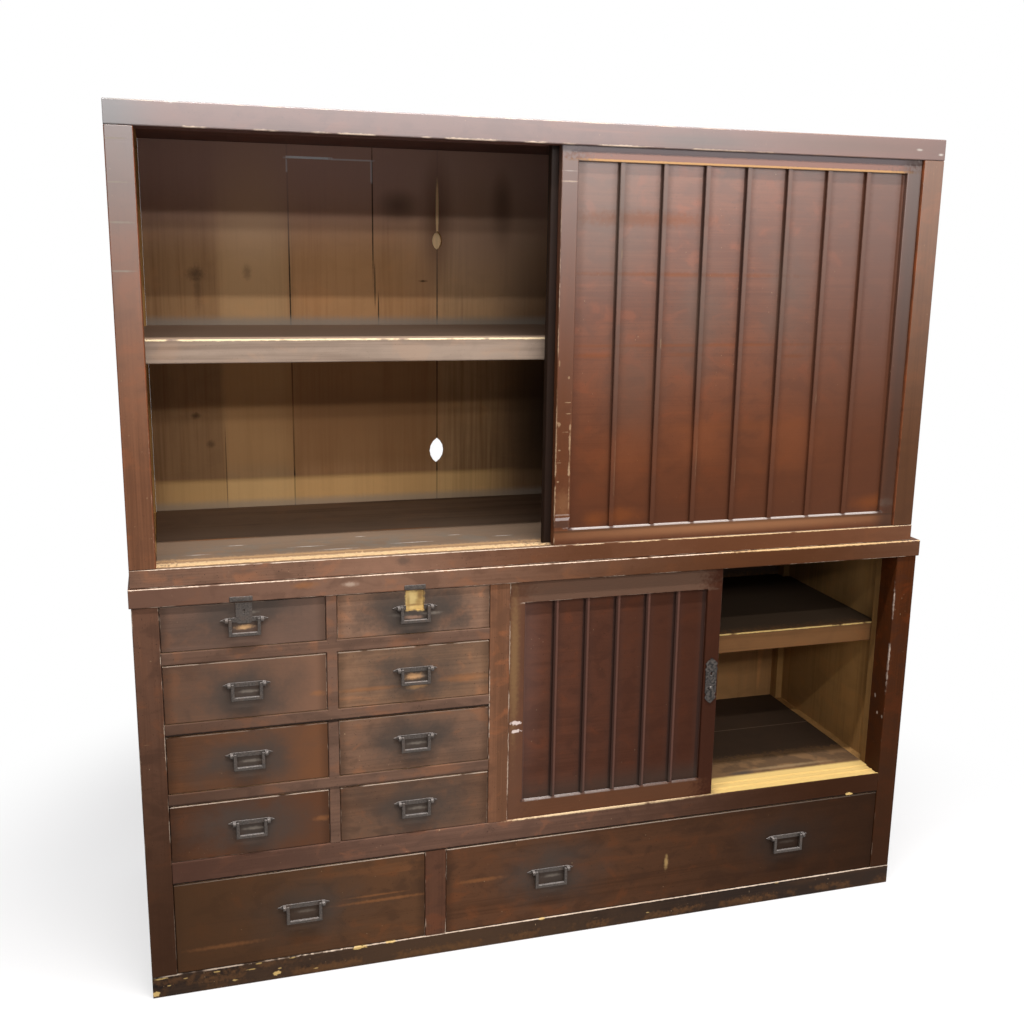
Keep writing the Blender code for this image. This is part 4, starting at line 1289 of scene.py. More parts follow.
    def _middle_rail(self) -> None:
        """The middle rail with the cupboard's floor, bare along its sill."""
        low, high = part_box("middle_rail")
        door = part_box("lower_front_door_frame")
        middle = (door[1].x + CASE_RIGHT) / 2
        half = (CASE_RIGHT - door[1].x) / 2
        line = (door[0].x + door[1].x) / 2
        track = (line, FRONT, high.z)
        wear_and_highlight = Patch(track, (0.255, 0.004, 0.0035), (0.80, 0.58, 0.34), 0.95, ragged=0.5, broken=0.36)
        marks = (
            # Painted shade: the cupboard floor is dark behind its front, under the top.
            strip((0, 0.085, high.z), (0, 0.20, 0.004), (0.052, 0.034, 0.021), 0.9),
            strip((0, 0.060, high.z), (0, 0.0016, 0.004), (0.180, 0.120, 0.080), 0.8, 0.5),
            strip((0, -0.155, high.z), (0, 0.060, 0.004), (0.165, 0.092, 0.042), 0.85, 0.6),
            worn((0.62, -0.15, high.z), (0.26, 0.05, 0.004), (0.060, 0.038, 0.024), 0.50),
            streak((0.62, -0.175, high.z), (0.10, 0.006, 0.004), (0.320, 0.210, 0.110), 0.6),
            streak((0.50, -0.184, high.z), (0.03, 0.008, 0.004), GRIME, 0.8),
            strip((middle, -0.236, high.z), (half, 0.042, 0.007), self.sill, 1.0, 0.05),
            wear_and_highlight,
        )
        stain = PLAIN_LACQUER.tinted((0.172, 0.091, 0.062))
        floor = stain.paint("cupboard_floor", Axis.X, self.seed + 4, marks)
        marks = (
            wear_and_highlight,
            Patch((middle, FRONT, high.z), (half, 0.004, 0.0012), STRAW, 0.9, ragged=0.6, broken=0.36),
            # Painted shade: the rail darkens towards both ends, most to the right.
            shade((-0.92, FRONT, 0), (0.34, 0.020, 0), (0.066, 0.029, 0.019), 0.9),
            shade((0.72, FRONT, 0), (0.50, 0.020, 0), (0.034, 0.011, 0.0035), 0.95),
            Patch((0, FRONT, low.z), (0, 0.004, 0.0040), DARK, 0.85, ragged=0.4),
            chip(0.741, low.z + 0.004, 0.016, 0.007, STRAW, 0.95),
        )
        piece = finer("middle_rail", self.arris)
        dress(piece, stain.paint("middle_rail", Axis.X, self.seed + 4, marks), floor)
        second_where(piece, off_front)

    def _cupboard(self) -> None:
        """The cupboard's back and shelf."""
        gloom = strip((0, 0, 0.78), (0, 0, 0.13), (0.110, 0.078, 0.056), 0.9)
        bare = CEDAR.tinted((0.400, 0.205, 0.080))
        piece = finer("lower_back", BOARD_ARRIS)
        inside = bare.paint("lower_back", Axis.Z, self.seed + 2, (gloom,))
        dress(piece, inside, CEDAR.paint("lower_back_rear", Axis.Z, self.seed + 2))
        second_where(piece, off_boards)
        low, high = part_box("lower_shelf")
        marks = (
            strip((0, low.y + 0.25, high.z), (0, 0.245, 0.004), (0.050, 0.034, 0.022), 0.95),
            Patch((0, low.y, high.z), (0, 0.003, 0.0025), STRAW, 0.9, ragged=0.5, broken=0.42),
        )
        finish = SHELF_WOOD.tinted((0.190, 0.088, 0.034))
        dress(finer("lower_shelf", self.arris), finish.paint("lower_shelf", Axis.X, self.seed + 6, marks))

    def _plinth(self) -> None:
        """The dark chipped plinth."""
        low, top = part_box("base_plinth")
        marks = [
            smudge((-0.28, 0, 0), (0.40, 0, 0), (0.085, 0.045, 0.024), 0.65),
            edge_x(low.y, top.z, 0.0022, 0.5, 0.57),
            strip((0.36, low.y, top.z), (0.82, 0.0018, 0.0018), PALE, 0.75, 0.7),
            Patch((0, low.y, low.z), (0, 0.010, 0.016), self.foot_scuff, 0.6, 1.2, 0.8, broken=0.5),
        ]
        for x, z, wide in self.scuffs:
            place, radii = (x, low.y, z), (wide, FACE_DEPTH, 0.007)
            marks.append(Patch(place, radii, self.scuff, 0.55, ragged=1.6, soft=0.8, broken=0.50))
        for x, z, wide, tall in self.chips:
            marks.append(chip(x, z, wide, tall, STRAW, 0.8 if tall > self.big_chip else 0.5))
        finish = PLINTH.paint("base_plinth", Axis.X, self.seed + 7, marks)
        dress(finer("base_plinth", self.arris), finish)


@dataclass
class SlidingDoors:
    """The four sliding doors with their slatted panels."""

    arris: float = 0.0010
    seed: float = 21.0
    lap: float = 0.008
    setback: float = 0.009
    turn_margin: float = 0.0005
    turn_depth: float = 0.1
    shadow_reach: float = 0.0038
    batten_width: float = 0.010
    upper_battens: int = 7
    lower_battens: int = 5
    stile_nicks: tuple[tuple[float, float, float, float], ...] = (
        (0.004, 1.292, 0.003, 0.012),
        (0.025, 1.262, 0.004, 0.005),
        (0.024, 1.211, 0.015, 0.002),
        (0.026, 1.188, 0.013, 0.002),
        (0.006, 1.166, 0.007, 0.010),
        (0.030, 1.162, 0.004, 0.014),
        (0.020, 1.150, 0.012, 0.0015),
        (0.030, 1.128, 0.004, 0.036),
        (0.008, 1.112, 0.005, 0.003),
        (0.006, 1.086, 0.012, 0.0015),
        (0.030, 1.070, 0.004, 0.030),
        (0.006, 1.046, 0.006, 0.004),
    )
    worn: Colour = (0.600, 0.410, 0.240)
    flame: Colour = (0.260, 0.080, 0.028)
    ledge: Colour = (0.500, 0.450, 0.420)
    glow: Colour = (0.200, 0.056, 0.014)
    ruddy: Colour = (0.190, 0.056, 0.020)
    painted_sheen: Colour = (0.105, 0.074, 0.055)
    head_sheen: Colour = (0.135, 0.118, 0.125)
    head_rail: Colour = (0.150, 0.088, 0.058)
    foot_rail: Colour = (0.150, 0.064, 0.030)
    arris_glint: Colour = (0.150, 0.082, 0.066)
    glows: tuple[Triple, ...] = ((0.069, 0.960, 0.020), (0.142, 0.966, 0.035), (0.743, 0.966, 0.040))
    ruddy_spots: tuple[tuple[float, float], ...] = ((0.137, 1.096), (0.309, 1.123), (0.526, 1.116))
    sheen_spots: tuple[tuple[float, float], ...] = ((0.147, 1.220), (0.295, 1.377), (0.504, 1.420))
    batten_wear: tuple[tuple[int, float, float], ...] = (
        (1, 1.070, 0.060),
        (1, 1.510, 0.010),
        (3, 1.085, 0.040),
        (4, 1.050, 0.025),
        (6, 1.210, 0.012),
        (2, 1.330, 0.010),
        (7, 1.020, 0.030),
    )
    flames: tuple[tuple[float, float, float, float], ...] = (
        (0.150, 1.580, 0.250, 0.026),
        (0.058, 1.305, 0.090, 0.009),
        (0.268, 1.305, 0.060, 0.009),
        (0.519, 1.300, 0.050, 0.008),
        (0.300, 1.325, 0.560, 0.006),
        (0.420, 1.150, 0.420, 0.022),
        (0.160, 1.085, 0.200, 0.014),
        (0.560, 1.055, 0.260, 0.012),
        (0.250, 1.470, 0.420, 0.008),
    )

    def build(self) -> None:
        """Make and dress every door."""
        self._upper()
        self._lower()
        for case, stain in (("upper", (0.130, 0.044, 0.020)), ("lower", (0.090, 0.034, 0.018))):
            node = f"{case}_rear_door"
            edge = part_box(node)[0].x
            # Painted shadow: the rear door's left edge, which shows beside the front door, is painted near
            # black.
            edge_shadow = Patch((edge, 0, 0), (0.034, 0, 0), DARK, 0.92, ragged=0.1, soft=0.3)
            finish = LACQUER.tinted(stain)
            dress(finer(node, self.arris), finish.paint(node, Axis.X, self.seed + len(node), (edge_shadow,)))

    def _opening(self, case: str) -> tuple[float, float, float, float]:
        """The clear panel inside a front door's frame: left, right, low and high."""
        low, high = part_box(f"{case}_front_door_panel")
        return low.x + self.lap, high.x - self.lap, low.z + self.lap, high.z - self.lap

    def _ledge(self, case: str) -> Patch:
        """The pale ledge below a front door's panel.

        Args:
            case: Which case's front door.

        Returns:
            The mark.
        """
        left, right, low, _ = self._opening(case)
        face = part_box(f"{case}_front_door_frame")[0].y
        place, radii = ((left + right) / 2, face + 0.005, low), ((right - left) / 2, 0.007, 0.0032)
        return Patch(place, radii, self.ledge, 0.9, ragged=0.06, soft=0.03, square=True)

    def _feet(self, case: str, battens: int) -> Rungs:
        """The dark marks where the battens stand on the ledge of a front door's frame.

        Args:
            case: Which case's front door.
            battens: How many battens its panel has.

        Returns:
            The mark.
        """
        left, right, low, _ = self._opening(case)
        pitch = (right - left) / (battens + 1)
        return Rungs(left, pitch, 0.0050, (0.060, 0.030, 0.024), 0.85, low - 0.0035, low + 0.002)

    def _behind_battens(self, face: float) -> Turn:
        """The part of a panel behind its upright battens, where the grain runs across."""
        return Turn(Axis.Y, face + self.setback - self.turn_margin, face + self.turn_depth, Axis.X)

    @staticmethod
    def _rail(
        left: float, right: float, low: float, high: float, face: float, colour: Colour, amount: float
    ) -> Patch:
        """A change of stain over one rail of a door's frame.

        Args:
            left: Where the rail starts.
            right: Where it ends.
            low: Its lower edge.
            high: Its upper edge.
            face: The front of the frame.
            colour: The stain.
            amount: How much of it shows.

        Returns:
            The mark.
        """
        place = ((left + right) / 2, face, (low + high) / 2)
        return strip(place, ((right - left) / 2, 0.006, (high - low) / 2), colour, amount)

    def _panel_marks(self, case: str, battens: int, tint: Colour, shadow_half: float) -> list[Mark]:
        """Painted shadow beside the battens, darker bands along them, a darker foot and a painted highlight
        on the batten faces.

        Args:
            case: Which case's front door.
            battens: How many battens the panel has.
            tint: The colour of the painted highlight on their faces.
            shadow_half: Half the width of the painted shadow on their left.

        Returns:
            The marks, in order.
        """
        left, right, low, high = self._opening(case)
        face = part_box(f"{case}_front_door_frame")[0].y
        pitch = (right - left) / (battens + 1)
        beside = left + pitch - self.batten_width / 2 - self.shadow_reach + shadow_half
        # Painted highlight: the battens' proud faces are lighter.
        wear_and_highlight = Patch((0, face + 0.002, 0), (0, 0.0045, 0), tint, 0.4, ragged=0.2, roughness=0.45)
        return [
            wear_and_highlight,
            Rungs(left + pitch, pitch, 0.016, (0.062, 0.030, 0.022), 0.30, low, high),
            # Painted shadow on the left of each batten.
            Rungs(beside, pitch, shadow_half, (0.034, 0.018, 0.014), 0.85, low, high),
            shade((0, 0, low), (0, 0, 0.030), (0.050, 0.036, 0.028), 0.6),
        ]

    def _upper(self) -> None:
        """The upper front door: worn stiles, streaked panel."""
        low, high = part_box("upper_front_door_frame")
        left, right, sill, head = self._opening("upper")
        middle, half, face = (left + right) / 2, (right - left) / 2, low.y
        marks = (
            strip((middle, face, head + 0.012), (half, 0.006, 0.008), (0.300, 0.165, 0.135), 0.6, 0.7),
            strip((middle, face, head + 0.0024), (half, 0.006, 0.0024), GOLD, 0.85, 0.3),
            self._ledge("upper"),
            self._feet("upper", self.upper_battens),
            Patch((middle, face, sill - 0.0062), (0, 0.003, 0.0024), DARK, 0.65, ragged=0.3),
            shade((middle, face, sill - 0.014), (half, 0, 0.010), (0.360, 0.165, 0.075), 0.55),
            edge_z(low.x, face, 0.0014, 0.6, 0.53),
            Patch((low.x, face, 1.08), (0.0020, 0.004, 0.26), self.worn, 0.6, ragged=1.2, broken=0.51),
            Patch((low.x + 0.031, face, 1.10), (0.0012, 0.004, 0.17), self.worn, 0.45, 1.4, broken=0.60),
            *(chip(low.x + x, z, wide, tall, self.worn, 0.6) for x, z, wide, tall in self.stile_nicks),
            edge_z(high.x, face, broken=0.52),
            edge_x(face, low.z, 0.0020, 0.85, 0.42),
            shade((low.x + 0.016, face, 1.69), (0.03, 0, 0.14), (0.085, 0.033, 0.018), 0.7),
            stroke(low.x + 0.018, 1.648, 0.034, 0.003, PALE, 0.4),
            stroke(low.x + 0.016, 1.668, 0.026, 0.002, CHALK, 0.35),
            strip((low.x + 0.017, face, 0.975), (0.017, 0.006, 0.0016), (0.380, 0.280, 0.230), 0.7, 0.5),
            strip((low.x + 0.017, face, 0.966), (0.017, 0.006, 0.0032), (0.460, 0.390, 0.370), 0.75, 0.6),
            strip((low.x + 0.017, face, 0.955), (0.017, 0.006, 0.0070), (0.045, 0.032, 0.027), 0.55, 0.3),
            # Painted sheen: a grey band along the top of the head rail.
            strip((middle, face, head + 0.023), (half + 0.060, 0.006, 0.006), self.head_sheen, 0.75, 0.4),
            streak((low.x + 0.018, face, 1.000), (0.014, 0, 0.024), (0.240, 0.110, 0.050), 0.6),
            stroke(high.x - 0.018, 0.966, 0.034, 0.018, DUST, 0.4),
            shade((high.x - 0.014, face, 0), (0.026, 0, 0), (0.052, 0.026, 0.017), 0.8),
            shade((low.x + 0.014, face, 1.26), (0.022, 0, 0.24), (0.090, 0.026, 0.006), 0.6),
        )
        turn = Turn(Axis.Z, sill, head, Axis.Z)
        finish = LACQUER.tinted((0.118, 0.042, 0.020))
        dress(
            finer("upper_front_door_frame", self.arris),
            finish.paint("upper_front_door_frame", Axis.X, self.seed, marks, turn),
        )
        turn = self._behind_battens(face)
        marks = []
        for x, z, wide, tall in self.flames:
            marks.append(streak((x, 0, z), (wide / 2, 0, tall / 2), self.flame, 0.45))
        pitch = (right - left) / (self.upper_battens + 1)
        for number, z, tall in self.batten_wear:
            x = left + number * pitch + self.batten_width / 2 - 0.001
            radii = (0.0016, FACE_DEPTH, tall)
            marks.append(Patch((x, face, z), radii, self.worn, 0.6, ragged=1.2, soft=0.5))
        marks += self._panel_marks("upper", self.upper_battens, (0.150, 0.108, 0.086), 0.0026)
        # Painted sheen: greyer patches where the lacquer reflects.
        marks += [smudge((x, 0, z), (0.05, 0, 0.10), self.painted_sheen, 0.45) for x, z in self.sheen_spots]
        marks.append(shade((0.08, 0, 1.58), (0.10, 0, 0.14), self.painted_sheen, 0.40))
        # Painted shade: the panel darkens towards its foot and towards the right.
        marks.append(shade((0, 0, sill - 0.06), (0, 0, 0.36), (0.082, 0.026, 0.011), 0.85))
        marks.append(shade((right + 0.10, 0, 0), (0.28, 0, 0), (0.090, 0.032, 0.016), 0.82))
        marks += [smudge((x, 0, z), (0.055, 0, 0.050), self.ruddy, 0.4) for x, z in self.ruddy_spots]
        marks += [smudge((x, 0, z), (wide, 0, 0.014), self.glow, 0.5) for x, z, wide in self.glows]
        finish = replace(LACQUER, mottle=0.9)
        dress(
            finer("upper_front_door_panel", self.arris),
            finish.paint("upper_front_door_panel", Axis.Z, self.seed + 1, marks, turn),
        )

    def _lower(self) -> None:
        """The cupboard's front door."""
        low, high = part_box("lower_front_door_frame")
        left, right, sill, head = self._opening("lower")
        face = low.y
        # Painted shade: the door and its panel darken towards the right.
        painted_shade = shade((0.46, 0, 0), (0.40, 0, 0), (0.042, 0.013, 0.0065), 0.85)
        marks = (
            shade((low.x, 0, 0), (0.050, 0, 0), (0.155, 0.072, 0.041), 0.8),
            streak((low.x + 0.012, face, 0.66), (0.009, 0, 0.14), (0.320, 0.190, 0.080), 0.5),
            edge_z(low.x, face, 0.0022, 0.9, 0.46),
            edge_z(high.x, face, broken=0.5),
            shade((high.x - 0.012, face, 0.49), (0.026, 0, 0.19), (0.026, 0.014, 0.010), 0.75),
            self._ledge("lower"),
            self._feet("lower", self.lower_battens),
            edge_x(face, head, 0.0016, 0.5, 0.5),
            painted_shade,
            self._rail(left, right, head, high.z, face, self.head_rail, 0.6),
            self._rail(left, right, low.z, sill, face, self.foot_rail, 0.5),
            chip(-0.098, 0.521, 0.026, 0.009, (0.72, 0.58, 0.52), 0.9),
            chip(-0.096, 0.502, 0.024, 0.007, (0.72, 0.58, 0.52), 0.9),
        )
        finish = PLAIN_LACQUER.tinted((0.112, 0.044, 0.026))
        turn = Turn(Axis.X, left, right, Axis.X)
        dress(
            finer("lower_front_door_frame", self.arris),
            finish.paint("lower_front_door_frame", Axis.Z, self.seed + 2, marks, turn),
        )
        turn = self._behind_battens(face)
        marks = [painted_shade, *self._panel_marks("lower", self.lower_battens, (0.120, 0.040, 0.022), 0.0042)]
        pitch = (right - left) / (self.lower_battens + 1)
        # Painted highlight: a lit line down each batten, right of its middle.
        marks.append(Rungs(left + pitch + 0.0020, pitch, 0.0020, self.arris_glint, 0.38, sill, head))
        # Lighter at the panel's left edge, in the same colour.
        marks.append(shade((left, 0, 0.66), (0.030, 0, 0.20), self.arris_glint, 0.40))
        dress(
            finer("lower_front_door_panel", self.arris),
            finish.paint("lower_front_door_panel", Axis.Z, self.seed + 3, marks, turn),
        )


# Each front's stain, with painted light: the fronts are lighter in the inner column and towards the top,
# where the sheen was brightest.
DRAWER_STAINS_AND_LIGHT: dict[str, Colour] = {
    "left_drawer_1": (0.134, 0.078, 0.055),
    "left_drawer_2": (0.115, 0.060, 0.037),
    "left_drawer_3": (0.107, 0.045, 0.021),
    "left_drawer_4": (0.077, 0.032, 0.016),
    "inner_drawer_1": (0.305, 0.166, 0.103),
    "inner_drawer_2": (0.257, 0.141, 0.082),
    "inner_drawer_3": (0.198, 0.107, 0.066),
    "inner_drawer_4": (0.152, 0.080, 0.048),
    "bottom_left_drawer": (0.105, 0.049, 0.024),
    "bottom_right_drawer": (0.105, 0.046, 0.023),
}
# Painted light: the left drawers lighten towards their right ends, nearer the brightest sheen.
PALER_ENDS: dict[str, float] = {
    "left_drawer_1": 1.22,
    "left_drawer_2": 1.75,
    "left_drawer_3": 1.55,
    "left_drawer_4": 1.48,
}


@dataclass
class Drawers:
    """The ten drawers, lacquered in front and bare cedar behind."""

    arris: float = 0.0008
    seed: float = 31.0
    handle_drop: float = 0.014
    lock_recess: tuple[float, float] = (0.037, 0.042)
    row_wear: tuple[float, ...] = (0.15, 0.60, 0.25, 0.90)
    wide_wear: float = 0.9
    end_darkening: Colour = (0.020, 0.012, 0.008)
    paler: dict[str, float] = field(default_factory=PALER_ENDS.copy)
    stains: dict[str, Colour] = field(default_factory=DRAWER_STAINS_AND_LIGHT.copy)

    def build(self) -> None:
        """Make and dress every drawer."""
        tray = CEDAR.paint("drawer_tray", Axis.Y, self.seed)
        own_marks = self._own_marks()
        for number, (node, stain) in enumerate(self.stains.items()):
            piece = finer(node, self.arris)
            finish = PLAIN_LACQUER.tinted(stain)
            marks = self._wear(node) + own_marks.get(node, [])
            # Painted light towards the drawer's right end.
            if node in self.paler:
                pale = tuple(self.paler[node] * part for part in stain)
                marks.insert(0, shade((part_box(node)[1].x, 0, 0), (0.21, 0, 0), pale, 0.9))
            dress(piece, finish.paint(node, Axis.X, self.seed + 1.7 * number, marks), tray)
            second_where(piece, off_drawer_front)

    def _wear(self, node: str) -> list[Patch]:
        """Dark ends, worn arrises and the dark halo that hands leave round each handle.

        Args:
            node: The drawer's CAD node.

        Returns:
            The marks, in order.
        """
        low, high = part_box(node)
        wide = node.startswith("bottom")
        bare_from = 0.30 if wide else 0.40
        amount = self.wide_wear if wide else self.row_wear[int(node[-1]) - 1]
        # Darker towards each end of the front.
        marks = [shade((x, 0, 0), (0.012, 0, 0), self.end_darkening, 0.4) for x in (low.x, high.x)]
        for mount in frame["nodes"]:
            if mount.startswith(node) and mount.endswith("_mount"):
                first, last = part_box(mount)
                x, z = (first.x + last.x) / 2, last.z - self.handle_drop
                marks.append(smudge((x, 0, z), (0.095, 0, 0.055), GRIME, 0.70))
                marks.append(smudge((x, 0, z - 0.006), (0.050, 0, 0.034), GRIME, 0.75))
                marks.append(stroke(x + 0.004, z - 0.006, 0.034, 0.006, DUST, 0.55))
        return marks + [
            replace(edge_x(low.y, high.z, 0.0017, amount, bare_from), ragged=0.25),
            edge_x(low.y, low.z, 0.0012, 0.4, 0.56),
            edge_z(low.x, low.y, 0.0012, 0.4, 0.57),
            edge_z(high.x, low.y, 0.0012, 0.4, 0.57),
        ]

    def _own_marks(self) -> dict[str, list[Patch]]:
        """Marks that single drawers carry.

        Returns:
            The marks by drawer, in order.
        """
        wide, tall = self.lock_recess
        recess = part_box("inner_drawer_1")
        x, z = (recess[0].x + recess[1].x) / 2, recess[1].z - tall / 2
        hole = (x, DRAWER_FACE + 0.002, z)
        return {
            "left_drawer_1": [stroke(-0.660, 0.784, 0.028, 0.008, (0.65, 0.38, 0.18), 0.9)],
            "inner_drawer_1": [
                strip(hole, (wide / 2, 0.004, tall / 2), (0.620, 0.400, 0.140), 0.95, 0.3),
                streak((x - 0.006, 0, z + 0.004), (0.010, 0, 0.016), (0.80, 0.60, 0.26), 0.7),
                streak((x + 0.012, 0, z + 0.012), (0.006, 0, 0.010), (0.20, 0.10, 0.04), 0.7),
                streak((x, 0, z - 0.010), (0.016, 0, 0.0022), (0.24, 0.13, 0.05), 0.8),
                streak((x + 0.008, 0, z - 0.004), (0.006, 0, 0.005), (0.36, 0.21, 0.08), 0.7),
                streak((x - 0.013, 0, z - 0.004), (0.003, 0, 0.014), (0.30, 0.17, 0.06), 0.6),
                stroke(-0.322, 0.778, 0.034, 0.007, (0.32, 0.19, 0.13), 0.8),
            ],
            "inner_drawer_2": [
                stroke(-0.321, 0.650, 0.032, 0.012, (0.55, 0.30, 0.14), 0.9),
                stroke(-0.316, 0.628, 0.034, 0.010, (0.45, 0.25, 0.11), 0.6),
                streak((-0.418, 0, 0.631), (0.050, 0, 0.004), ORANGE, 0.4),
                streak((-0.212, 0, 0.637), (0.040, 0, 0.008), ORANGE, 0.45),
            ],
            "left_drawer_2": [streak((-0.519, 0, 0.632), (0.012, 0, 0.005), ORANGE, 0.4)],
            "left_drawer_4": [streak((-0.516, 0, 0.357), (0.014, 0, 0.005), ORANGE, 0.4)],
            "bottom_left_drawer": [
                # Painted shade: darker towards the left end.
                shade((-0.92, 0, 0), (0.33, 0, 0), (0.055, 0.026, 0.012), 0.9),
                streak((-0.385, 0, 0.150), (0.08, 0, 0.003), ORANGE, 0.4),
                streak((-0.400, 0, 0.163), (0.05, 0, 0.002), ORANGE, 0.35),
                streak((-0.720, 0, 0.096), (0.06, 0, 0.004), ORANGE, 0.25),
            ],
            "bottom_right_drawer": [
                # Painted shade: darker towards the right end.
                shade((0.95, 0, 0), (0.62, 0, 0), (0.020, 0.008, 0.0034), 0.88),
                streak((-0.175, 0, 0.163), (0.04, 0, 0.004), ORANGE, 0.4),
                stroke(0.270, 0.142, 0.008, 0.030, (0.40, 0.25, 0.10)),
            ],
        }


@dataclass
class Ironwork:
    """The handle mounts, bails and lock plates, with the keepers above the locks."""

    arris: float = 0.0007
    keeper_size: Triple = (0.044, 0.0020, 0.010)
    keepers: tuple[tuple[float, float], ...] = ((-0.664, 0.8432), (-0.319, 0.8432))
    highlight_above: float = 0.85

    def build(self) -> None:
        """Make and dress every iron piece."""
        face, plate, edge = FORGED.paint(), PITTED.paint(), TOP_HIGHLIGHT_IRON.paint()
        for node in sorted(frame["nodes"]):
            if node.endswith(("_mount", "_bail", "_plate")):
                piece = finer(node, self.arris)
                dress(piece, plate if node.endswith("_plate") else face, edge)
                self._highlight_tops(piece)
        for piece in self._keepers():
            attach(piece, "case")
            dress(piece, face, edge)
            self._highlight_tops(piece)
            report(piece)

    def _highlight_tops(self, piece: bpy.types.Object) -> None:
        """Give the faces that look up the brighter iron, as a painted highlight where light from above
        falls.

        Args:
            piece: The iron piece.
        """
        for face in piece.data.polygons:
            if face.normal.z > self.highlight_above:
                face.material_index = 1

    def _keepers(self) -> list[bpy.types.Object]:
        """The small iron plates on the head rail that take the locks' bolts.

        Returns:
            One plate, and a copy of it with its own mesh at each other place.
        """
        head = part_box("lower_top")[0].y
        first_x, first_z = self.keepers[0]
        place = (first_x, head - self.keeper_size[1] / 2, first_z)
        plate = cuboid("lock_keeper_1", place, self.keeper_size)
        ease_arrises(plate, self.arris)
        bpy.ops.object.shade_smooth_by_angle(angle=SMOOTH_BELOW)
        plates = [plate]
        for number, (x, z) in enumerate(self.keepers[1:], start=2):
            copy = bpy.data.objects.new(f"lock_keeper_{number}", plate.data.copy())
            copy.data.transform(Matrix.Translation((x - first_x, 0.0, z - first_z)))
            bpy.context.scene.collection.objects.link(copy)
            plates.append(copy)
        return plates


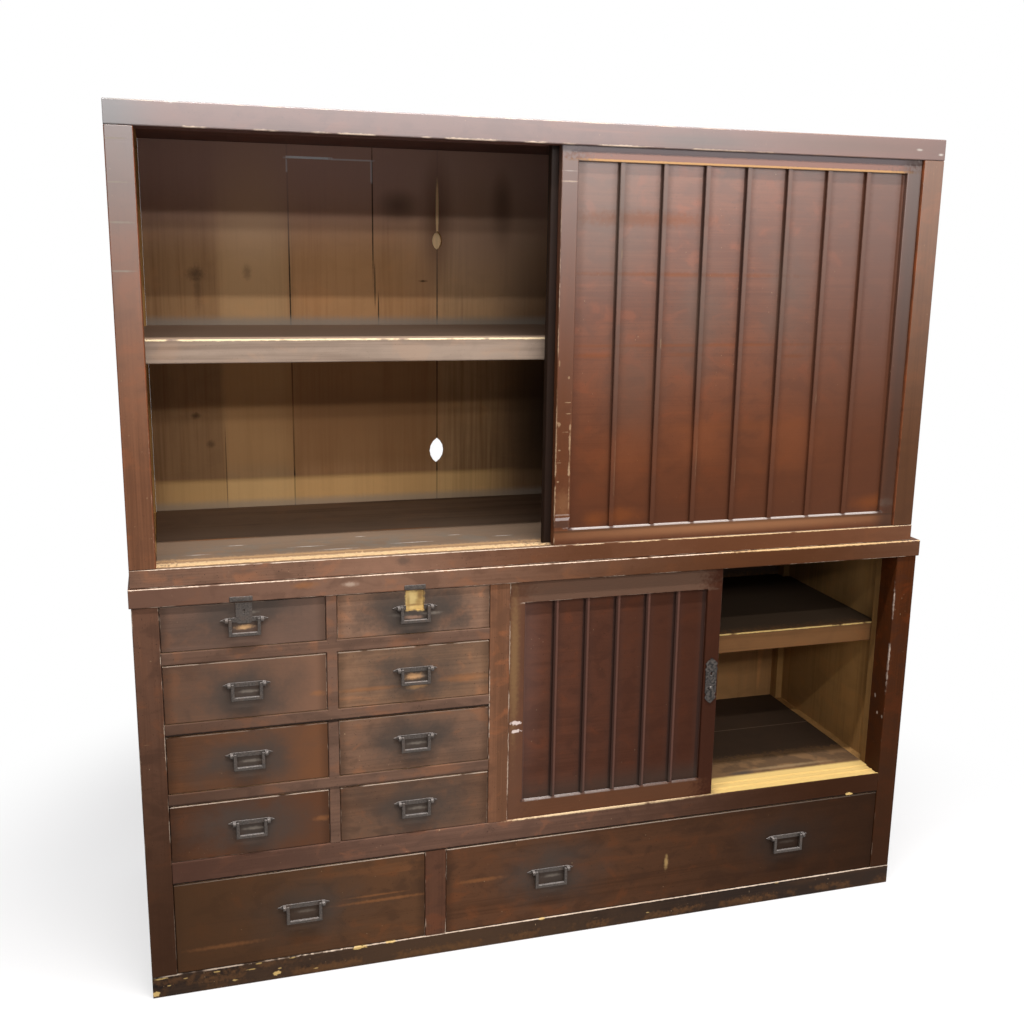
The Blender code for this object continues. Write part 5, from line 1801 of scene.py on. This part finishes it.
@dataclass
class Studio:
    """A pale floor, soft lamps and the camera at the photograph's angle."""

    camera_place: Triple = (CASE_LEFT + 0.079, FRONT - 2.242, 1.508)
    right: Triple = (0.95752, -0.28795, 0.01541)
    down: Triple = (-0.04756, -0.21039, -0.97646)
    ahead: Triple = (0.28441, 0.93425, -0.21515)
    lens: float = 40.994
    sensor: float = 36.0
    far: float = 200.0
    shift: tuple[float, float] = (-0.0035, -0.0017)
    white_from: float = 1.05
    white_to: float = 1.65
    floor_grey: Colour = (0.43, 0.42, 0.41)
    ambient: Colour = (0.250, 0.262, 0.290)
    floor_lift: Colour = (0.55, 0.55, 0.55)
    floor_roughness: float = 0.9
    floor_size: float = 60.0
    floor_drop: float = 0.0005
    lamp_aim: Triple = (0.0, FRONT, 1.0)
    lamps: tuple[tuple[str, Triple, tuple[float, float], float], ...] = (
        ("low_lamp", (0.4, FRONT - 5.0, 2.95), (6.0, 0.12), 70.0),
        ("middle_lamp", (0.4, FRONT - 5.0, 3.28), (6.0, 0.12), 50.0),
        ("high_lamp", (0.0, FRONT - 3.0, 3.50), (4.0, 0.06), 55.0),
        ("ceiling_lamp", (0.0, FRONT - 1.0, 4.40), (3.6, 0.12), 190.0),
    )

    def build(self) -> None:
        """Set up the view, floor, lamps and camera."""
        bpy.context.scene.view_settings.view_transform = "Standard"
        self._floor()
        self._world()
        for lamp in self.lamps:
            self._lamp(*lamp)
        self._camera()

    def _floor(self) -> None:
        """A wide pale floor that shows white and keeps the shadow."""
        deselect()
        bpy.ops.mesh.primitive_plane_add(size=self.floor_size, location=(0.0, 0.0, -self.floor_drop))
        floor = bpy.context.object
        floor.name = "studio_floor"
        graph = Graph("pale_floor")
        graph.shader.inputs["Base Color"].default_value = (*self.floor_grey, 1.0)
        graph.shader.inputs["Roughness"].default_value = self.floor_roughness
        graph.shader.inputs["Specular IOR Level"].default_value = 0.0
        sight, metal, glass = graph.backdrop_rays()
        seen = (sight + metal + glass).ramp(0.0, 1.0)
        graph.feed(graph.shader.inputs["Emission Color"], graph.mixed(seen, DARK, self.floor_lift))
        graph.shader.inputs["Emission Strength"].default_value = 1.0
        glow = graph.node("ShaderNodeEmission", inputs={"Strength": 1.0})
        reach = graph.node("ShaderNodeVectorMath", {"operation": "LENGTH"}, {0: graph.place})
        far = Value(graph, reach.outputs["Value"]).ramp(self.white_from, self.white_to)
        near, white = Value(graph, graph.shader.outputs[0]), Value(graph, glow.outputs[0])
        blend = graph.node("ShaderNodeMixShader", inputs={"Fac": seen * far, 1: near, 2: white})
        output = graph.tree.nodes["Material Output"]
        graph.feed(output.inputs["Surface"], Value(graph, blend.outputs[0]))
        floor.data.materials.append(graph.material)
        floor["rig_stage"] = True

    def _world(self) -> None:
        """Dim cool light from all round, white where it is seen."""
        world = bpy.data.worlds.new("studio")
        bpy.context.scene.world = world
        world.use_nodes = True
        world.node_tree.nodes.clear()
        tree = NodeTree(world.node_tree)
        sight, metal, glass = tree.backdrop_rays()
        seen = sight.or_more(metal).or_more(glass)
        colours = ((*self.ambient, 1.0), (1.0, 1.0, 1.0, 1.0))
        skies = [tree.node("ShaderNodeBackground", inputs={"Color": colour}) for colour in colours]
        dim, white = (Value(tree, sky.outputs[0]) for sky in skies)
        blend = tree.node("ShaderNodeMixShader", inputs={"Fac": seen, 1: dim, 2: white})
        tree.node("ShaderNodeOutputWorld", inputs={"Surface": Value(tree, blend.outputs[0])})

    def _lamp(self, name: str, place: Triple, size: tuple[float, float], power: float) -> None:
        """Add one wide soft lamp that faces the cabinet.

        Args:
            name: The lamp's name.
            place: Where it hangs.
            size: Its width and height.
            power: Its power in watts.
        """
        lamp = bpy.data.lights.new(name, "AREA")
        lamp.shape = "RECTANGLE"
        lamp.size, lamp.size_y = size
        lamp.energy = power
        hung = bpy.data.objects.new(name, lamp)
        bpy.context.scene.collection.objects.link(hung)
        hung.location = place
        aim = Vector(self.lamp_aim) - Vector(place)
        hung.rotation_euler = aim.to_track_quat("-Z", "Y").to_euler()
        hung.visible_camera = False

    def _camera(self) -> None:
        """Place the camera as the photograph was taken."""
        lens = bpy.data.cameras.new("camera")
        lens.lens = self.lens
        lens.sensor_width = self.sensor
        lens.shift_x, lens.shift_y = self.shift
        lens.clip_end = self.far
        camera = bpy.data.objects.new("camera", lens)
        bpy.context.scene.collection.objects.link(camera)
        columns = (Vector(self.right), -Vector(self.down), -Vector(self.ahead))
        turn = Matrix(columns).transposed().to_4x4()
        camera.matrix_world = Matrix.Translation(self.camera_place) @ turn
        bpy.context.scene.camera = camera


def main() -> None:
    """Build every sub-assembly, then gather the sizes before and after."""
    logging.basicConfig(level=logging.INFO, format="%(name)s: %(message)s")
    cad = [list(corner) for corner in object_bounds()]
    for part in (UpperCase(), LowerCase(), SlidingDoors(), Drawers(), Ironwork(), Studio()):
        part.build()
        LOG.info("%s is done", type(part).__name__)
    sizes = {"cad": cad, "visual": [list(corner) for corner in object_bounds()]}


if __name__ == "__main__":
    main()
